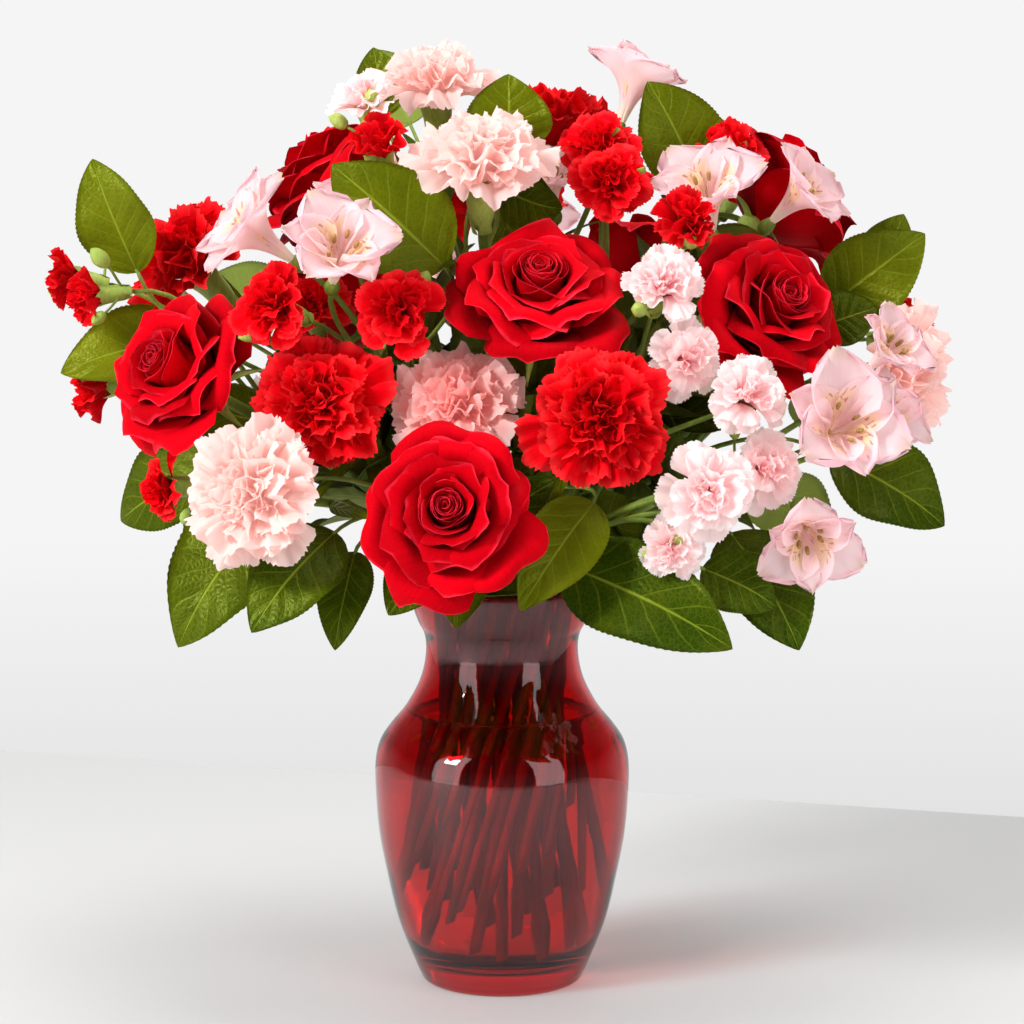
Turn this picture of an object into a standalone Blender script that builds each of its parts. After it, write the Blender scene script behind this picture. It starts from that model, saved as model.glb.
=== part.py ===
"""A hand-tied bouquet of roses, carnations, alstroemeria and leaves in a glass vase.

Metres, +Z up. The origin is the middle of the vase's flat underside and -Y is the
bouquet's front. The tables below are in millimetres and degrees.
"""
import math

import bmesh
import bpy
import numpy as np
from mathutils import Matrix, Vector

MM = 0.001
GAP = 0.3

# Vase: radius and height of the outer wall from the lip down, wall and floor.
VASE_OUTER = (
    (44.2, 203.0), (45.2, 200.5), (44.8, 192.0), (42.0, 183.5), (39.0, 177.5), (38.0, 170.0),
    (39.2, 160.0), (42.4, 150.5), (48.6, 139.5), (56.0, 130.4), (61.3, 122.2), (63.6, 112.0),
    (63.6, 98.0), (62.0, 77.0), (58.4, 57.0), (52.6, 32.0), (44.6, 11.0), (41.5, 4.0), (38.5, 0.0),
)
VASE_WALL = 3.4
FLOOR_INNER = ((44.0, 20.0), (37.0, 14.0), (20.0, 11.4), (0.0, 11.0))
VASE_SIDES = 28
LIP_TOP = (42.6, 203.2)
# Radius, height and thickness of the bars that keep the plants off the lip.
LIP_RING = (43.5, 199.0, 4.5)
WATER_LEVEL = 137.0

# Stems stand on rings that turn and breathe with height, so none of them cross.
NECK_Z = 171.0
RIM_Z = 207.0
RINGS = ((1, 0.0), (6, 10.2), (12, 20.4), (21, 30.6))
TWIST_PER_MM = 0.0094
SPREAD_PER_MM = 0.0030
# Lowest cut end of the stems, how far one is cut above the next, and how many steps; the
# stems of the outer ring end a little higher and the leaf branches are cut shortest.
CUT_LOW = 16.0
CUT_STEP = 7.0
CUT_STEPS = 6
OUTER_CUT = 38.0
LEAF_CUT = 74.0

# Flowers: (x, y, z) of the middle, bearing from the front towards +X, lift.
ROSES = (
    (-22, -125, 260, -8, 20), (16, -70, 362, 3, 50), (138, -50, 344, 35, 32),
    (-158, -50, 321, -45, 28), (-109, 18, 401, -100, 42), (145, 34, 399, 120, 38),
    (-82, 96, 340, -145, 32), (80, 104, 352, 150, 35),
)
CARNATIONS = (
    ("red", 42, -125, 299, 5, 14), ("red", -86, -78, 300, -20, 18),
    ("pink", -109, -108, 279, -25, 12), ("dusty", -31, -88, 314, -6, 48),
    ("pink", -10, -31, 420, -10, 68), ("pink", 201, -20, 314, 62, 10),
    ("pink", -32, 18, 447, -15, 76), ("red", -141, 15, 376, -55, 45),
    ("red", 33, 44, 436, 170, 62), ("pink", 0, 132, 292, 180, 16),
    ("red", -8, 84, 404, 178, 58),
)
# Spray carnations: as above with the head's radius last.
SPRAYS = {
    "red_spray_1": (
        (-116, -64, 334, -35, 18, 22), (-92, -44, 348, -10, 40, 20),
        (-30, -82, 341, 0, 22, 22), (-64, -22, 422, -35, 60, 13),
    ),
    "red_spray_2": (
        (44, -22, 414, -8, 48, 21), (36, -48, 392, 6, 12, 21),
        (90, -48, 386, 6, 30, 13), (124, 0, 412, 10, 55, 14),
        (116, 96, 396, 140, 44, 19),
    ),
    "red_spray_3": (
        (-213, 0, 364, -85, 12, 12), (-200, -14, 348, -72, -6, 12),
        (-204, 14, 300, -80, 0, 14), (-168, -58, 258, -60, -4, 17),
        (-172, 88, 296, -115, 10, 19),
    ),
    "red_spray_4": (
        (214, 6, 320, 75, 2, 17), (196, 24, 342, 85, 40, 12), (128, 112, 296, 132, 8, 21),
        (48, 158, 318, 165, 18, 21),
    ),
    "pink_spray_1": (
        (74, -74, 353, 12, 34, 21), (92, -88, 326, 22, 2, 21), (118, -106, 312, 26, 22, 20),
    ),
    "pink_spray_2": (
        (96, -130, 267, 4, 8, 24), (79, -116, 236, -6, -8, 17), (134, -88, 275, 36, 14, 21),
    ),
    "pink_spray_3": (
        (-66, 0, 448, -30, 68, 18), (-126, 84, 282, -125, 8, 21), (-62, 118, 402, -160, 46, 21),
        (-64, 154, 290, -160, 6, 21),
    ),
}
# Alstroemerias: as above, the radius being that of the open mouth.
LILIES = {
    "alstroemeria_1": (
        (-116, -52, 374, -70, 36, 25), (-78, -70, 370, 12, 42, 25), (-70, -34, 392, -20, 72, 18),
    ),
    "alstroemeria_2": ((106, -30, 384, -12, 52, 25), (146, -2, 382, 60, 42, 22)),
    "alstroemeria_3": (
        (150, -98, 291, 18, 22, 27), (182, -62, 303, 58, 32, 20), (143, -106, 246, 8, -24, 22),
        (158, -46, 330, 50, 40, 18),
    ),
    "alstroemeria_4": (
        (55, 28, 436, 140, 62, 22), (26, 4, 408, -10, 60, 18), (-40, 150, 346, -170, 30, 25),
        (10, 158, 366, 176, 40, 24),
    ),
}
# Leaves: foot (x, y, z), tip (x, y, z), width.
LEAVES = {
    "leaf_branch_1": (
        (-171, 1, 350, -191, -2, 406, 38), (-150, 8, 330, -219, -6, 312, 42),
        (-150, 60, 330, -188, 112, 340, 42), (-27, -46, 364, -80, -50, 414, 50),
    ),
    "leaf_branch_2": (
        (-58, 34, 431, -64, 36, 466, 26), (6, 6, 412, 7, 4, 450, 42),
        (8, -12, 386, 16, -26, 412, 38), (-46, 110, 424, -64, 140, 462, 42),
    ),
    "leaf_branch_3": (
        (102, 10, 396, 76, 4, 448, 46), (163, 24, 362, 180, 24, 394, 28),
        (100, 90, 400, 128, 128, 420, 42),
    ),
    "leaf_branch_4": (
        (160, 4, 342, 205, -4, 380, 42), (166, -14, 332, 196, -12, 342, 28),
        (160, -40, 272, 216, -44, 238, 46), (150, 60, 290, 206, 84, 262, 46),
    ),
    "leaf_branch_5": (
        (30, -84, 226, 108, -122, 194, 50), (94, -96, 224, 130, -102, 208, 32),
        (110, -68, 238, 141, -100, 188, 48),
    ),
    "leaf_branch_6": (
        (-104, -62, 256, -158, -92, 190, 56), (-80, -80, 244, -120, -112, 204, 42),
        (-70, -76, 230, -78, -102, 188, 26), (44, -92, 256, 8, -136, 214, 36),
        (-34, -82, 224, -54, -108, 206, 28),
    ),
    "leaf_branch_7": (
        (-120, 80, 246, -164, 120, 200, 50), (-44, 108, 236, -56, 166, 196, 48),
        (-140, 20, 262, -196, 40, 226, 46), (-120, 140, 322, -156, 168, 344, 44),
    ),
    "leaf_branch_8": (
        (58, 108, 236, 84, 164, 198, 50), (122, 62, 246, 172, 94, 204, 48),
        (6, 118, 244, 18, 176, 222, 44), (120, 144, 330, 150, 170, 356, 44),
    ),
}

# Stem and branch radii; calyx as (distance below the flower, radius).
STEM = {"rose": 2.9, "carnation": 2.2, "spray": 1.9, "lily": 2.4, "leaf": 1.9}
TWIG = {"spray": 1.2, "lily": 1.4, "leaf": 1.2}
CALYX = {
    "rose": ((15, 2.9), (9, 5.0), (3, 7.4), (0, 6.8)),
    "carnation": ((30, 2.2), (26, 4.8), (14, 6.2), (0, 7.6)),
    "spray": ((22, 1.2), (18, 3.6), (8, 4.6), (-4, 4.8)),
    "lily": ((16, 1.4), (10, 2.8), (3, 3.4), (-5, 3.2)),
    "leaf": ((11, 1.3), (-6, 1.3)),
}
# Outer shape of each head, as shares of its radius and of its height, top first.
HEAD = {
    "rose": (46.0, 56.0, ((0, 1), (0.5, 0.97), (0.9, 0.74), (1, 0.5), (0.62, 0.14), (0.16, 0), (0, 0))),
    "carnation": (
        37.0, 40.0, ((0, 1), (0.5, 0.95), (0.92, 0.72), (1, 0.48), (0.5, 0.1), (0.2, 0), (0, 0)),
    ),
    "spray": (0.0, 1.15, ((0, 1), (0.66, 0.9), (1, 0.56), (0.26, 0), (0, 0))),
    "lily": (0.0, 1.45, ((0, 0.66), (0.5, 0.84), (1, 1), (0.42, 0.45), (0.17, 0), (0, 0))),
}
SIDES = {"rose": 10, "carnation": 10, "spray": 8, "lily": 6}
# Weld distance in metres, the share of a twig's corners a good union keeps, and the small
# shifts in mm tried where a union goes wrong.
WELD = 0.00001
KEPT = 0.8
NUDGES = ((0, 0, 0), (0.1, 0, 0), (0, 0.2, 0), (0, 0, 0.3), (-0.2, 0, 0.2), (0, -0.3, 0.3))
# Blade outline: share of the length, share of the width.
OUTLINE = ((0.0, 0.0), (0.1, 0.27), (0.27, 0.46), (0.46, 0.5), (0.68, 0.38), (0.86, 0.17), (1.0, 0.0))
BLADE_MIDDLE = 0.42
BLADE_THICK = 1.8
BLADE_ARCH = 0.06

# How readily each kind of head gives way to its neighbours while the bouquet settles.
GIVE = {"rose": 0.12, "carnation": 0.22, "spray": 0.32, "lily": 0.32, "leaf": 0.40}
SETTLE_TURNS = 300
CLEARANCE = 2.4

COLOURS = {
    "glass": ((0.45, 0.01, 0.02), 0.05), "water": ((0.62, 0.06, 0.06), 0.05),
    "red_rose": ((0.50, 0.003, 0.01), 0.6), "red": ((0.78, 0.01, 0.01), 0.7),
    "pink": ((0.88, 0.52, 0.53), 0.7), "dusty": ((0.80, 0.40, 0.40), 0.7),
    "lily": ((0.88, 0.60, 0.66), 0.6), "stem": ((0.16, 0.26, 0.06), 0.6),
    "leaf": ((0.05, 0.16, 0.03), 0.45),
}


def facing(bearing, lift):
    """Unit vector for a bearing (0 is the front, 90 is +X) and a lift above level."""
    b = math.radians(bearing)
    e = math.radians(lift)
    return np.array([math.sin(b) * math.cos(e), -math.cos(b) * math.cos(e), math.sin(e)])


def unit(v):
    """The vector at length 1."""
    return v / np.linalg.norm(v)


def side_axes(axis):
    """Two directions square to an axis."""
    u = unit(np.cross(axis, (0, 0, 1) if abs(axis[2]) < 0.9 else (0, 1, 0)))
    return u, np.cross(axis, u)


def arc(start, start_way, end, end_way, count):
    """Points of a smooth bend between two places, without its two ends."""
    reach = np.linalg.norm(end - start)
    out = []
    for k in range(1, count + 1):
        t = k / (count + 1)
        a, b = 2 * t**3 - 3 * t**2 + 1, t**3 - 2 * t**2 + t
        c, d = -2 * t**3 + 3 * t**2, t**3 - t**2
        out.append(a * start + b * reach * start_way + c * end + d * reach * end_way)
    return out


# ---------------------------------------------------------------- the arrangement

def flower(kind, x, y, z, bearing, lift, radius, height):
    """One flower head: its foot, its axis and the stand-in discs that keep it clear."""
    axis = facing(bearing, lift)
    foot = np.array([x, y, z], float) - axis * height * 0.55
    if kind == "lily":
        core, thick = foot + axis * height * 0.84, 8.0
    else:
        core, thick = foot + axis * height * 0.58, min(height * 0.38, radius * 0.6)
    u, v = side_axes(axis)
    bars = []
    for k in range(4):
        way = math.cos(k * math.pi / 4) * u + math.sin(k * math.pi / 4) * v
        bars.append((core - way * (radius - thick), core + way * (radius - thick), thick))
    neck = CALYX[kind][0][0]
    bars.append((foot - axis * neck * 0.7, core, max(5.0, radius * 0.3)))
    return {"kind": kind, "foot": foot, "axis": axis, "radius": radius, "height": height,
            "neck": neck, "bars": bars}


def blade(foot, tip, width):
    """One leaf: foot, direction, upper side and its stand-in bars."""
    foot, tip = np.array(foot, float), np.array(tip, float)
    way = unit(tip - foot)
    length = np.linalg.norm(tip - foot)
    front = -1.0 if foot[1] < 50.0 else 1.0
    outward = unit(np.array([tip[0] * 0.002, front, 0.45]))
    across = unit(np.cross(way, outward))
    upper = np.cross(across, way)
    bars = []
    for share in (-0.27, 0.0, 0.27):
        inset = 0.16 if share else 0.04
        start = foot + way * length * inset + across * width * share
        end = foot + way * length * (1 - inset - 0.06) + across * width * share
        bars.append((start, end, 5.0))
    return {"kind": "leaf", "foot": foot, "axis": way, "across": across, "upper": upper,
            "length": length, "width": width, "neck": CALYX["leaf"][0][0], "bars": bars}


def all_plants():
    """Every plant with a stem of its own, as name, kind, colour and heads."""
    plants = []
    for k, row in enumerate(ROSES, 1):
        radius, height = HEAD["rose"][:2]
        plants.append([f"rose_{k}", "rose", "red_rose", [flower("rose", *row, radius, height)]])
    for k, (colour, *row) in enumerate(CARNATIONS, 1):
        radius, height = HEAD["carnation"][:2]
        heads = [flower("carnation", *row, radius, height)]
        plants.append([f"carnation_{k}", "carnation", colour, heads])
    for table, kind in ((SPRAYS, "spray"), (LILIES, "lily")):
        for name, rows in table.items():
            heads = [flower(kind, *row, row[5] * HEAD[kind][1]) for row in rows]
            colour = "lily" if kind == "lily" else name.split("_")[0]
            plants.append([name, kind, colour, heads])
    for name, rows in LEAVES.items():
        heads = [blade(row[:3], row[3:6], row[6]) for row in rows]
        plants.append([name, "leaf", "leaf", heads])
    return plants


def stem_place(slot, z):
    """Where a stem of the bundle is at a height: straight lines that fan and turn."""
    rise = z - NECK_Z
    x, y = slot
    grow = 1 + SPREAD_PER_MM * rise
    turn = TWIST_PER_MM * rise
    return np.array([grow * x - turn * y, grow * y + turn * x, z])


def cut_height(kind, slot, number):
    """Height of a stem's cut end above the table."""
    low = CUT_LOW
    if math.hypot(*slot) > (RINGS[-1][1] + RINGS[-2][1]) / 2:
        low = OUTER_CUT
    if kind == "leaf":
        low = LEAF_CUT
    return low + CUT_STEP * (number * 5 % CUT_STEPS)


def share_places(plants):
    """Give each stem a place in the neck: low, wide-leaning heads on the outer ring.

    Two places of the outer ring, at the back, stay free.
    """
    aims = []
    for number, plant in enumerate(plants):
        middle = np.mean([head["foot"] for head in plant[3]], axis=0)
        lean = math.atan2(math.hypot(middle[0], middle[1]), middle[2] - NECK_Z)
        aims.append((lean, math.atan2(middle[1], middle[0]), number))
    aims.sort(reverse=True)
    shift = math.atan2(TWIST_PER_MM * (RIM_Z - NECK_Z), 1)
    places = {}
    for count, radius in reversed(RINGS):
        angles = [math.tau * (k + 0.5) / count + math.pi / 2 for k in range(count)]
        if count == RINGS[-1][0]:
            angles = angles[1:-1]
        ring = sorted(aims[:len(angles)], key=lambda aim: aim[1])
        aims = aims[len(angles):]
        best = None
        for start in range(len(angles)):
            turned = angles[start:] + angles[:start]
            miss = sum(1 - math.cos(a + shift - aim[1]) for a, aim in zip(turned, ring))
            if best is None or miss < best[0]:
                best = (miss, turned)
        for angle, aim in zip(best[1], ring):
            places[aim[2]] = (radius * math.cos(angle), radius * math.sin(angle))
    return places


class Bundle:
    """Points, bars between them and the rigid heads, pushed apart until all are clear."""

    def __init__(self):
        self.points, self.free, self.rigid = [], [], []
        self.bars, self.runs, self.homes = [], [], []

    def add(self, place, free=True, rigid=-1):
        self.points.append(np.array(place, float))
        self.free.append(free)
        self.rigid.append(rigid)
        return len(self.points) - 1

    def add_head(self, head, plant):
        """Add a head's foot, the point of its neck and its bars as one rigid group."""
        group = len(self.homes)
        foot = self.add(head["foot"], rigid=group)
        neck = self.add(head["foot"] - head["axis"] * head["neck"], rigid=group)
        for start, end, radius in head["bars"]:
            ends = self.add(start, rigid=group), self.add(end, rigid=group)
            self.bars.append((*ends, radius, plant, group, GIVE[head["kind"]]))
        self.homes.append(head["foot"])
        return neck, foot

    def add_run(self, chain, radius, plant):
        """Add a stem or a branch as bars along a chain of points."""
        self.runs.append(chain)
        for a, b in zip(chain, chain[1:]):
            still = not (self.free[a] or self.free[b])
            self.bars.append((a, b, radius, plant, -1, 0.0 if still else 1.0))

    def near_pairs(self, x, bars):
        """Pairs of bars that may touch."""
        a, b = x[bars["a"]], x[bars["b"]]
        middle = (a + b) / 2
        size = np.linalg.norm(b - a, axis=1) / 2 + bars["r"] + 8
        i, j = np.triu_indices(len(a), 1)
        keep = (bars["plant"][i] != bars["plant"][j]) | (
            (bars["head"][i] >= 0) & (bars["head"][j] >= 0) & (bars["head"][i] != bars["head"][j]))
        keep &= bars["w"][i] + bars["w"][j] > 0
        i, j = i[keep], j[keep]
        near = np.linalg.norm(middle[i] - middle[j], axis=1) < size[i] + size[j]
        return i[near], j[near]

    def settle(self):
        """Push clashing bars apart, keep heads rigid and stems smooth."""
        x = np.array(self.points)
        free = np.array(self.free)
        rigid = np.array(self.rigid)
        columns = list(zip(*self.bars))
        bars = {"a": np.array(columns[0]), "b": np.array(columns[1]), "r": np.array(columns[2]),
                "plant": np.array(columns[3]), "head": np.array(columns[4]),
                "w": np.array(columns[5])}
        triples = np.array([t for run in self.runs for t in zip(run, run[1:], run[2:])])
        bend = x[triples[:, 1]] - (x[triples[:, 0]] + x[triples[:, 2]]) / 2
        homes = x.copy()
        heads = [np.flatnonzero(rigid == g) for g in range(len(self.homes))]
        hold = np.array([0.02, 0.004, 0.02])
        for turn in range(SETTLE_TURNS):
            if turn % 10 == 0:
                pairs = self.near_pairs(x, bars)
            ease = min(1.0, 2.5 * (1 - turn / SETTLE_TURNS))
            push, hits = bar_pushes(x, bars, *pairs)
            for group in heads:
                struck = group[hits[group] > 0]
                shift = push[struck].sum(axis=0) / max(1.0, hits[struck].max() if len(struck) else 1)
                shift = shift * min(1.0, 6.0 / max(6.0, np.linalg.norm(shift)))
                shift += ease * hold * (homes[group[0]] - x[group[0]])
                x[group] += shift
            loose = free & (rigid < 0)
            x[loose] += 0.6 * push[loose] / np.maximum(hits[loose], 1)[:, None]
            middle = (x[triples[:, 0]] + x[triples[:, 2]]) / 2 + bend
            pull = np.zeros_like(x)
            np.add.at(pull, triples[:, 1], 0.2 * ease * (middle - x[triples[:, 1]]))
            x[loose] += pull[loose]
        return x


def bar_pushes(x, bars, i, j):
    """How far each point has to move for its bars to come clear of their neighbours."""
    p, q = x[bars["a"][i]], x[bars["a"][j]]
    u, v = x[bars["b"][i]] - p, x[bars["b"][j]] - q
    w = p - q
    uu, vv, uv = (u * u).sum(1) + 1e-9, (v * v).sum(1) + 1e-9, (u * v).sum(1)
    uw, vw = (u * w).sum(1), (v * w).sum(1)
    det = uu * vv - uv * uv
    s = np.clip(np.where(det > 1e-6, (uv * vw - vv * uw) / np.maximum(det, 1e-6), 0.5), 0, 1)
    t = np.clip((s * uv + vw) / vv, 0, 1)
    s = np.clip((t * uv - uw) / uu, 0, 1)
    away = w + u * s[:, None] - v * t[:, None]
    far = np.linalg.norm(away, axis=1) + 1e-9
    deep = bars["r"][i] + bars["r"][j] + CLEARANCE - far
    hit = deep > 0
    i, j, s, t = i[hit], j[hit], s[hit], t[hit]
    step = away[hit] / far[hit][:, None] * deep[hit][:, None]
    wi, wj = bars["w"][i], bars["w"][j]
    push, hits = np.zeros_like(x), np.zeros(len(x))
    for bar, share, weight, sign in ((i, s, wi, 1.0), (j, t, wj, -1.0)):
        part = (sign * weight / (wi + wj))[:, None] * step
        for end, lever in (("a", 1 - share), ("b", share)):
            np.add.at(push, bars[end][bar], part * np.sqrt(lever)[:, None])
            np.add.at(hits, bars[end][bar], lever)
    return push, hits


def arrange():
    """Place every plant; gives the layout and the settled points of its chains."""
    plants = all_plants()
    places = share_places(plants)
    bundle = Bundle()
    ring_r, ring_z, ring_thick = LIP_RING
    ring = [bundle.add((ring_r * math.cos(a), ring_r * math.sin(a), ring_z), free=False)
            for a in np.linspace(0, math.tau, 17)]
    bundle.add_run(ring, ring_thick, -1)
    layout = []
    for number, (name, kind, colour, heads) in enumerate(plants):
        slot = places[number]
        ends = [bundle.add_head(head, number) for head in heads]
        low = cut_height(kind, slot, number)
        fixed = [bundle.add(stem_place(slot, z), free=False) for z in (low, NECK_Z, RIM_Z)]
        rim = bundle.points[fixed[-1]]
        rise = unit(rim - bundle.points[fixed[1]])
        if len(heads) == 1:
            neck, foot = ends[0]
            goal, way = bundle.points[neck], heads[0]["axis"]
        else:
            middle = np.mean([bundle.points[neck] for neck, _ in ends], axis=0)
            goal = rim + (middle - rim) * 0.62
            goal[2] += 6.0
            way = unit(middle - goal)
        count = max(1, round(np.linalg.norm(goal - rim) / 30) - 1)
        trunk = fixed + [bundle.add(p) for p in arc(rim, rise, goal, way, count)]
        if len(heads) == 1:
            runs = [trunk + [neck, foot]]
        else:
            fork = bundle.add(goal)
            runs = [trunk + [fork]]
            for neck, foot in ends:
                end = bundle.points[neck]
                lead = unit(way + 1.5 * unit(end - goal))
                head_way = unit(bundle.points[foot] - end)
                count = max(1, round(np.linalg.norm(end - goal) / 32) - 1)
                runs.append([fork] + [bundle.add(p) for p in arc(goal, lead, end, head_way, count)]
                            + [neck, foot])
        bundle.add_run(runs[0], STEM[kind], number)
        for run in runs[1:]:
            bundle.add_run(run, TWIG[kind], number)
        layout.append((name, kind, colour, heads, runs, slot, low))
    settled = bundle.settle()
    for _, _, _, heads, runs, _, _ in layout:
        tips = runs if len(runs) == 1 else runs[1:]
        for head, run in zip(heads, tips):
            head["foot"] = settled[run[-1]]
    return layout, settled


# ---------------------------------------------------------------- solids

def collection(name):
    """A new collection in the scene."""
    made = bpy.data.collections.new(name)
    bpy.context.scene.collection.children.link(made)
    return made


def material(name):
    """The plain material of that name, made the first time it is asked for."""
    colour, roughness = COLOURS[name]
    made = bpy.data.materials.get(name)
    if made is None:
        made = bpy.data.materials.new(name)
        made.use_nodes = True
        shader = made.node_tree.nodes["Principled BSDF"]
        shader.inputs["Base Color"].default_value = (*colour, 1.0)
        shader.inputs["Roughness"].default_value = roughness
        shader.inputs["Metallic"].default_value = 0.0
    return made


def place_object(name, mesh, home, look, smooth=True):
    """A mesh as an object in a collection, with its material."""
    made = bpy.data.objects.new(name, mesh)
    home.objects.link(made)
    mesh.materials.clear()
    mesh.materials.append(material(look))
    if smooth:
        mesh.polygons.foreach_set("use_smooth", [True] * len(mesh.polygons))
    return made


def baked(item):
    """The object's evaluated mesh in world coordinates; the object is removed."""
    bpy.context.view_layer.update()
    graph = bpy.context.evaluated_depsgraph_get()
    mesh = bpy.data.meshes.new_from_object(item.evaluated_get(graph), depsgraph=graph)
    mesh.transform(item.matrix_world)
    bpy.data.objects.remove(item)
    work = bmesh.new()
    work.from_mesh(mesh)
    bmesh.ops.remove_doubles(work, verts=work.verts, dist=0.00001)
    work.to_mesh(mesh)
    work.free()
    return mesh


def turned(name, profile, sides, home, look):
    """A turned solid: a profile in mm, run down its outer side, spun about Z."""
    mesh = bpy.data.meshes.new(name)
    rows = [(r * MM, 0.0, z * MM) for r, z in profile]
    mesh.from_pydata(rows, [(k, k + 1) for k in range(len(rows) - 1)], [])
    item = place_object(name, mesh, home, look, smooth=False)
    screw = item.modifiers.new("turn", "SCREW")
    screw.axis = "Z"
    screw.steps = sides
    screw.render_steps = sides
    screw.use_merge_vertices = True
    screw.merge_threshold = 0.00001
    screw.use_smooth_shade = True
    return item


def tube(name, rows, home, look, fine=1):
    """A stem through (point, radius) rows in mm, as a mesh with its ends filled."""
    curve = bpy.data.curves.new(name, "CURVE")
    curve.dimensions = "3D"
    curve.bevel_depth = MM
    curve.bevel_resolution = fine
    curve.use_fill_caps = True
    curve.render_resolution_u = 0
    line = curve.splines.new("POLY")
    line.points.add(len(rows) - 1)
    for point, (place, radius) in zip(line.points, rows):
        point.co = (*[float(c) * MM for c in place], 1.0)
        point.radius = float(radius)
    item = bpy.data.objects.new(name, curve)
    home.objects.link(item)
    mesh = baked(item)
    bpy.data.curves.remove(curve)
    return place_object(name, mesh, home, look)


def is_whole(mesh, least):
    """True if a union kept more than least corners and every edge has two faces."""
    work = bmesh.new()
    work.from_mesh(mesh)
    bmesh.ops.remove_doubles(work, verts=work.verts, dist=WELD)
    bmesh.ops.triangulate(work, faces=work.faces)
    whole = len(work.verts) > least and all(len(edge.link_faces) == 2 for edge in work.edges)
    work.free()
    return whole


def joined(main, tool):
    """Union of two solids; a spoilt one is made again with the tool nudged a hair."""
    least = len(main.data.vertices) + KEPT * len(tool.data.vertices)
    for nudge in NUDGES:
        tool.location = [c * MM for c in nudge]
        step = main.modifiers.new("union", "BOOLEAN")
        step.operation = "UNION"
        step.solver = "EXACT"
        step.use_self = any(nudge)
        step.object = tool
        bpy.context.view_layer.update()
        graph = bpy.context.evaluated_depsgraph_get()
        mesh = bpy.data.meshes.new_from_object(main.evaluated_get(graph), depsgraph=graph)
        main.modifiers.clear()
        if is_whole(mesh, least):
            break
    main.data = mesh
    bpy.data.objects.remove(tool)
    return main


def pose(foot, axis):
    """Matrix that stands a turned solid on a foot (mm) with its Z along the axis."""
    u, v = side_axes(axis)
    turn = Matrix((u, v, axis)).transposed().to_4x4()
    return Matrix.Translation(Vector([float(c) * MM for c in foot])) @ turn


def head_solid(name, head, home, look, gap):
    """The outer shape of one flower head."""
    shape = HEAD[head["kind"]][2]
    profile = [(r * head["radius"], z * head["height"]) for r, z in shape]
    item = turned(name, profile, SIDES[head["kind"]], home, look)
    item.matrix_world = pose(head["foot"] + head["axis"] * gap, head["axis"])
    return item


def on_blade(head, t):
    """A point of a leaf's arched middle line, t being its share of the length."""
    rise = 4 * BLADE_ARCH * head["length"] * t * (1 - t)
    return head["foot"] + head["axis"] * head["length"] * t + head["upper"] * rise


def blade_solid(name, head, home):
    """One leaf blade: a thin lens over an ovate outline, arched along its length."""
    rim = [(t, s) for t, s in OUTLINE] + [(t, -s) for t, s in OUTLINE[-2:0:-1]]
    corners = []
    for t, s in rim:
        corners.append(on_blade(head, t) + head["across"] * head["width"] * s)
    middle = on_blade(head, BLADE_MIDDLE)
    corners.append(middle + head["upper"] * BLADE_THICK)
    corners.append(middle)
    top, under, count = len(rim), len(rim) + 1, len(rim)
    faces = []
    for k in range(count):
        faces.append((top, k, (k + 1) % count))
        faces.append((under, (k + 1) % count, k))
    mesh = bpy.data.meshes.new(name)
    mesh.from_pydata([[float(c) * MM for c in place] for place in corners], [], faces)
    return place_object(name, mesh, home, "leaf")


def run_rows(points, run, radius, calyx):
    """Rows for a stem: its chain, thickening into the calyx under the flower."""
    places = [points[k] for k in run]
    foot = places[-1]
    way = unit(foot - places[-2])
    rows = [(place, radius) for place in places[:-2]]
    return rows + [(foot - way * below, r) for below, r in calyx]


def build_plant(entry, points, home, bench):
    """Stem, branches and heads of one plant; roses and carnations keep theirs apart."""
    name, kind, colour, heads, runs, _, _ = entry
    if len(runs) == 1:
        stem = tube(f"{name}_stem", run_rows(points, runs[0], STEM[kind], CALYX[kind]), home, "stem")
        head_solid(f"{name}_bloom", heads[0], home, colour, GAP)
        return stem
    look = "leaf" if kind == "leaf" else colour
    trunk = [(points[k], STEM[kind]) for k in runs[0]]
    overrun = points[runs[0][-1]] + unit(points[runs[0][-1]] - points[runs[0][-2]]) * 1.5
    main = tube(name, trunk + [(overrun, STEM[kind] * 0.8)], home, look)
    back = unit(points[runs[0][-2]] - points[runs[0][-1]])
    for k, (head, run) in enumerate(zip(heads, runs[1:])):
        rows = run_rows(points, run, TWIG[kind], CALYX[kind])
        rows[0] = (points[run[0]] + back * (1.5 + 2.2 * k), TWIG[kind])
        twig = tube(f"{name}_twig_{k}", rows, bench, look, fine=0)
        if kind == "leaf":
            shape = blade_solid(f"{name}_blade_{k}", head, bench)
        else:
            solid = head_solid(f"{name}_head_{k}", head, bench, look, 0.0)
            shape = place_object(f"{name}_shape_{k}", baked(solid), bench, look)
        joined(main, joined(twig, shape))
    return main


def inner_wall():
    """The vase's inner profile from the floor's middle up to the lip."""
    side = []
    for k, (r, z) in enumerate(VASE_OUTER[1:-3], 1):
        (r0, z0), (r1, z1) = VASE_OUTER[k - 1], VASE_OUTER[k + 1]
        span = math.hypot(r1 - r0, z1 - z0)
        side.append((r + VASE_WALL * (z1 - z0) / span, z - VASE_WALL * (r1 - r0) / span))
    return list(reversed(FLOOR_INNER)) + list(reversed(side))


def build_vase(home):
    """The vase: inner wall, lip and outer wall as one turned solid."""
    profile = inner_wall() + [LIP_TOP] + list(VASE_OUTER) + [(0.0, 0.0)]
    turned("vase", profile, VASE_SIDES, home, "glass")


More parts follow.
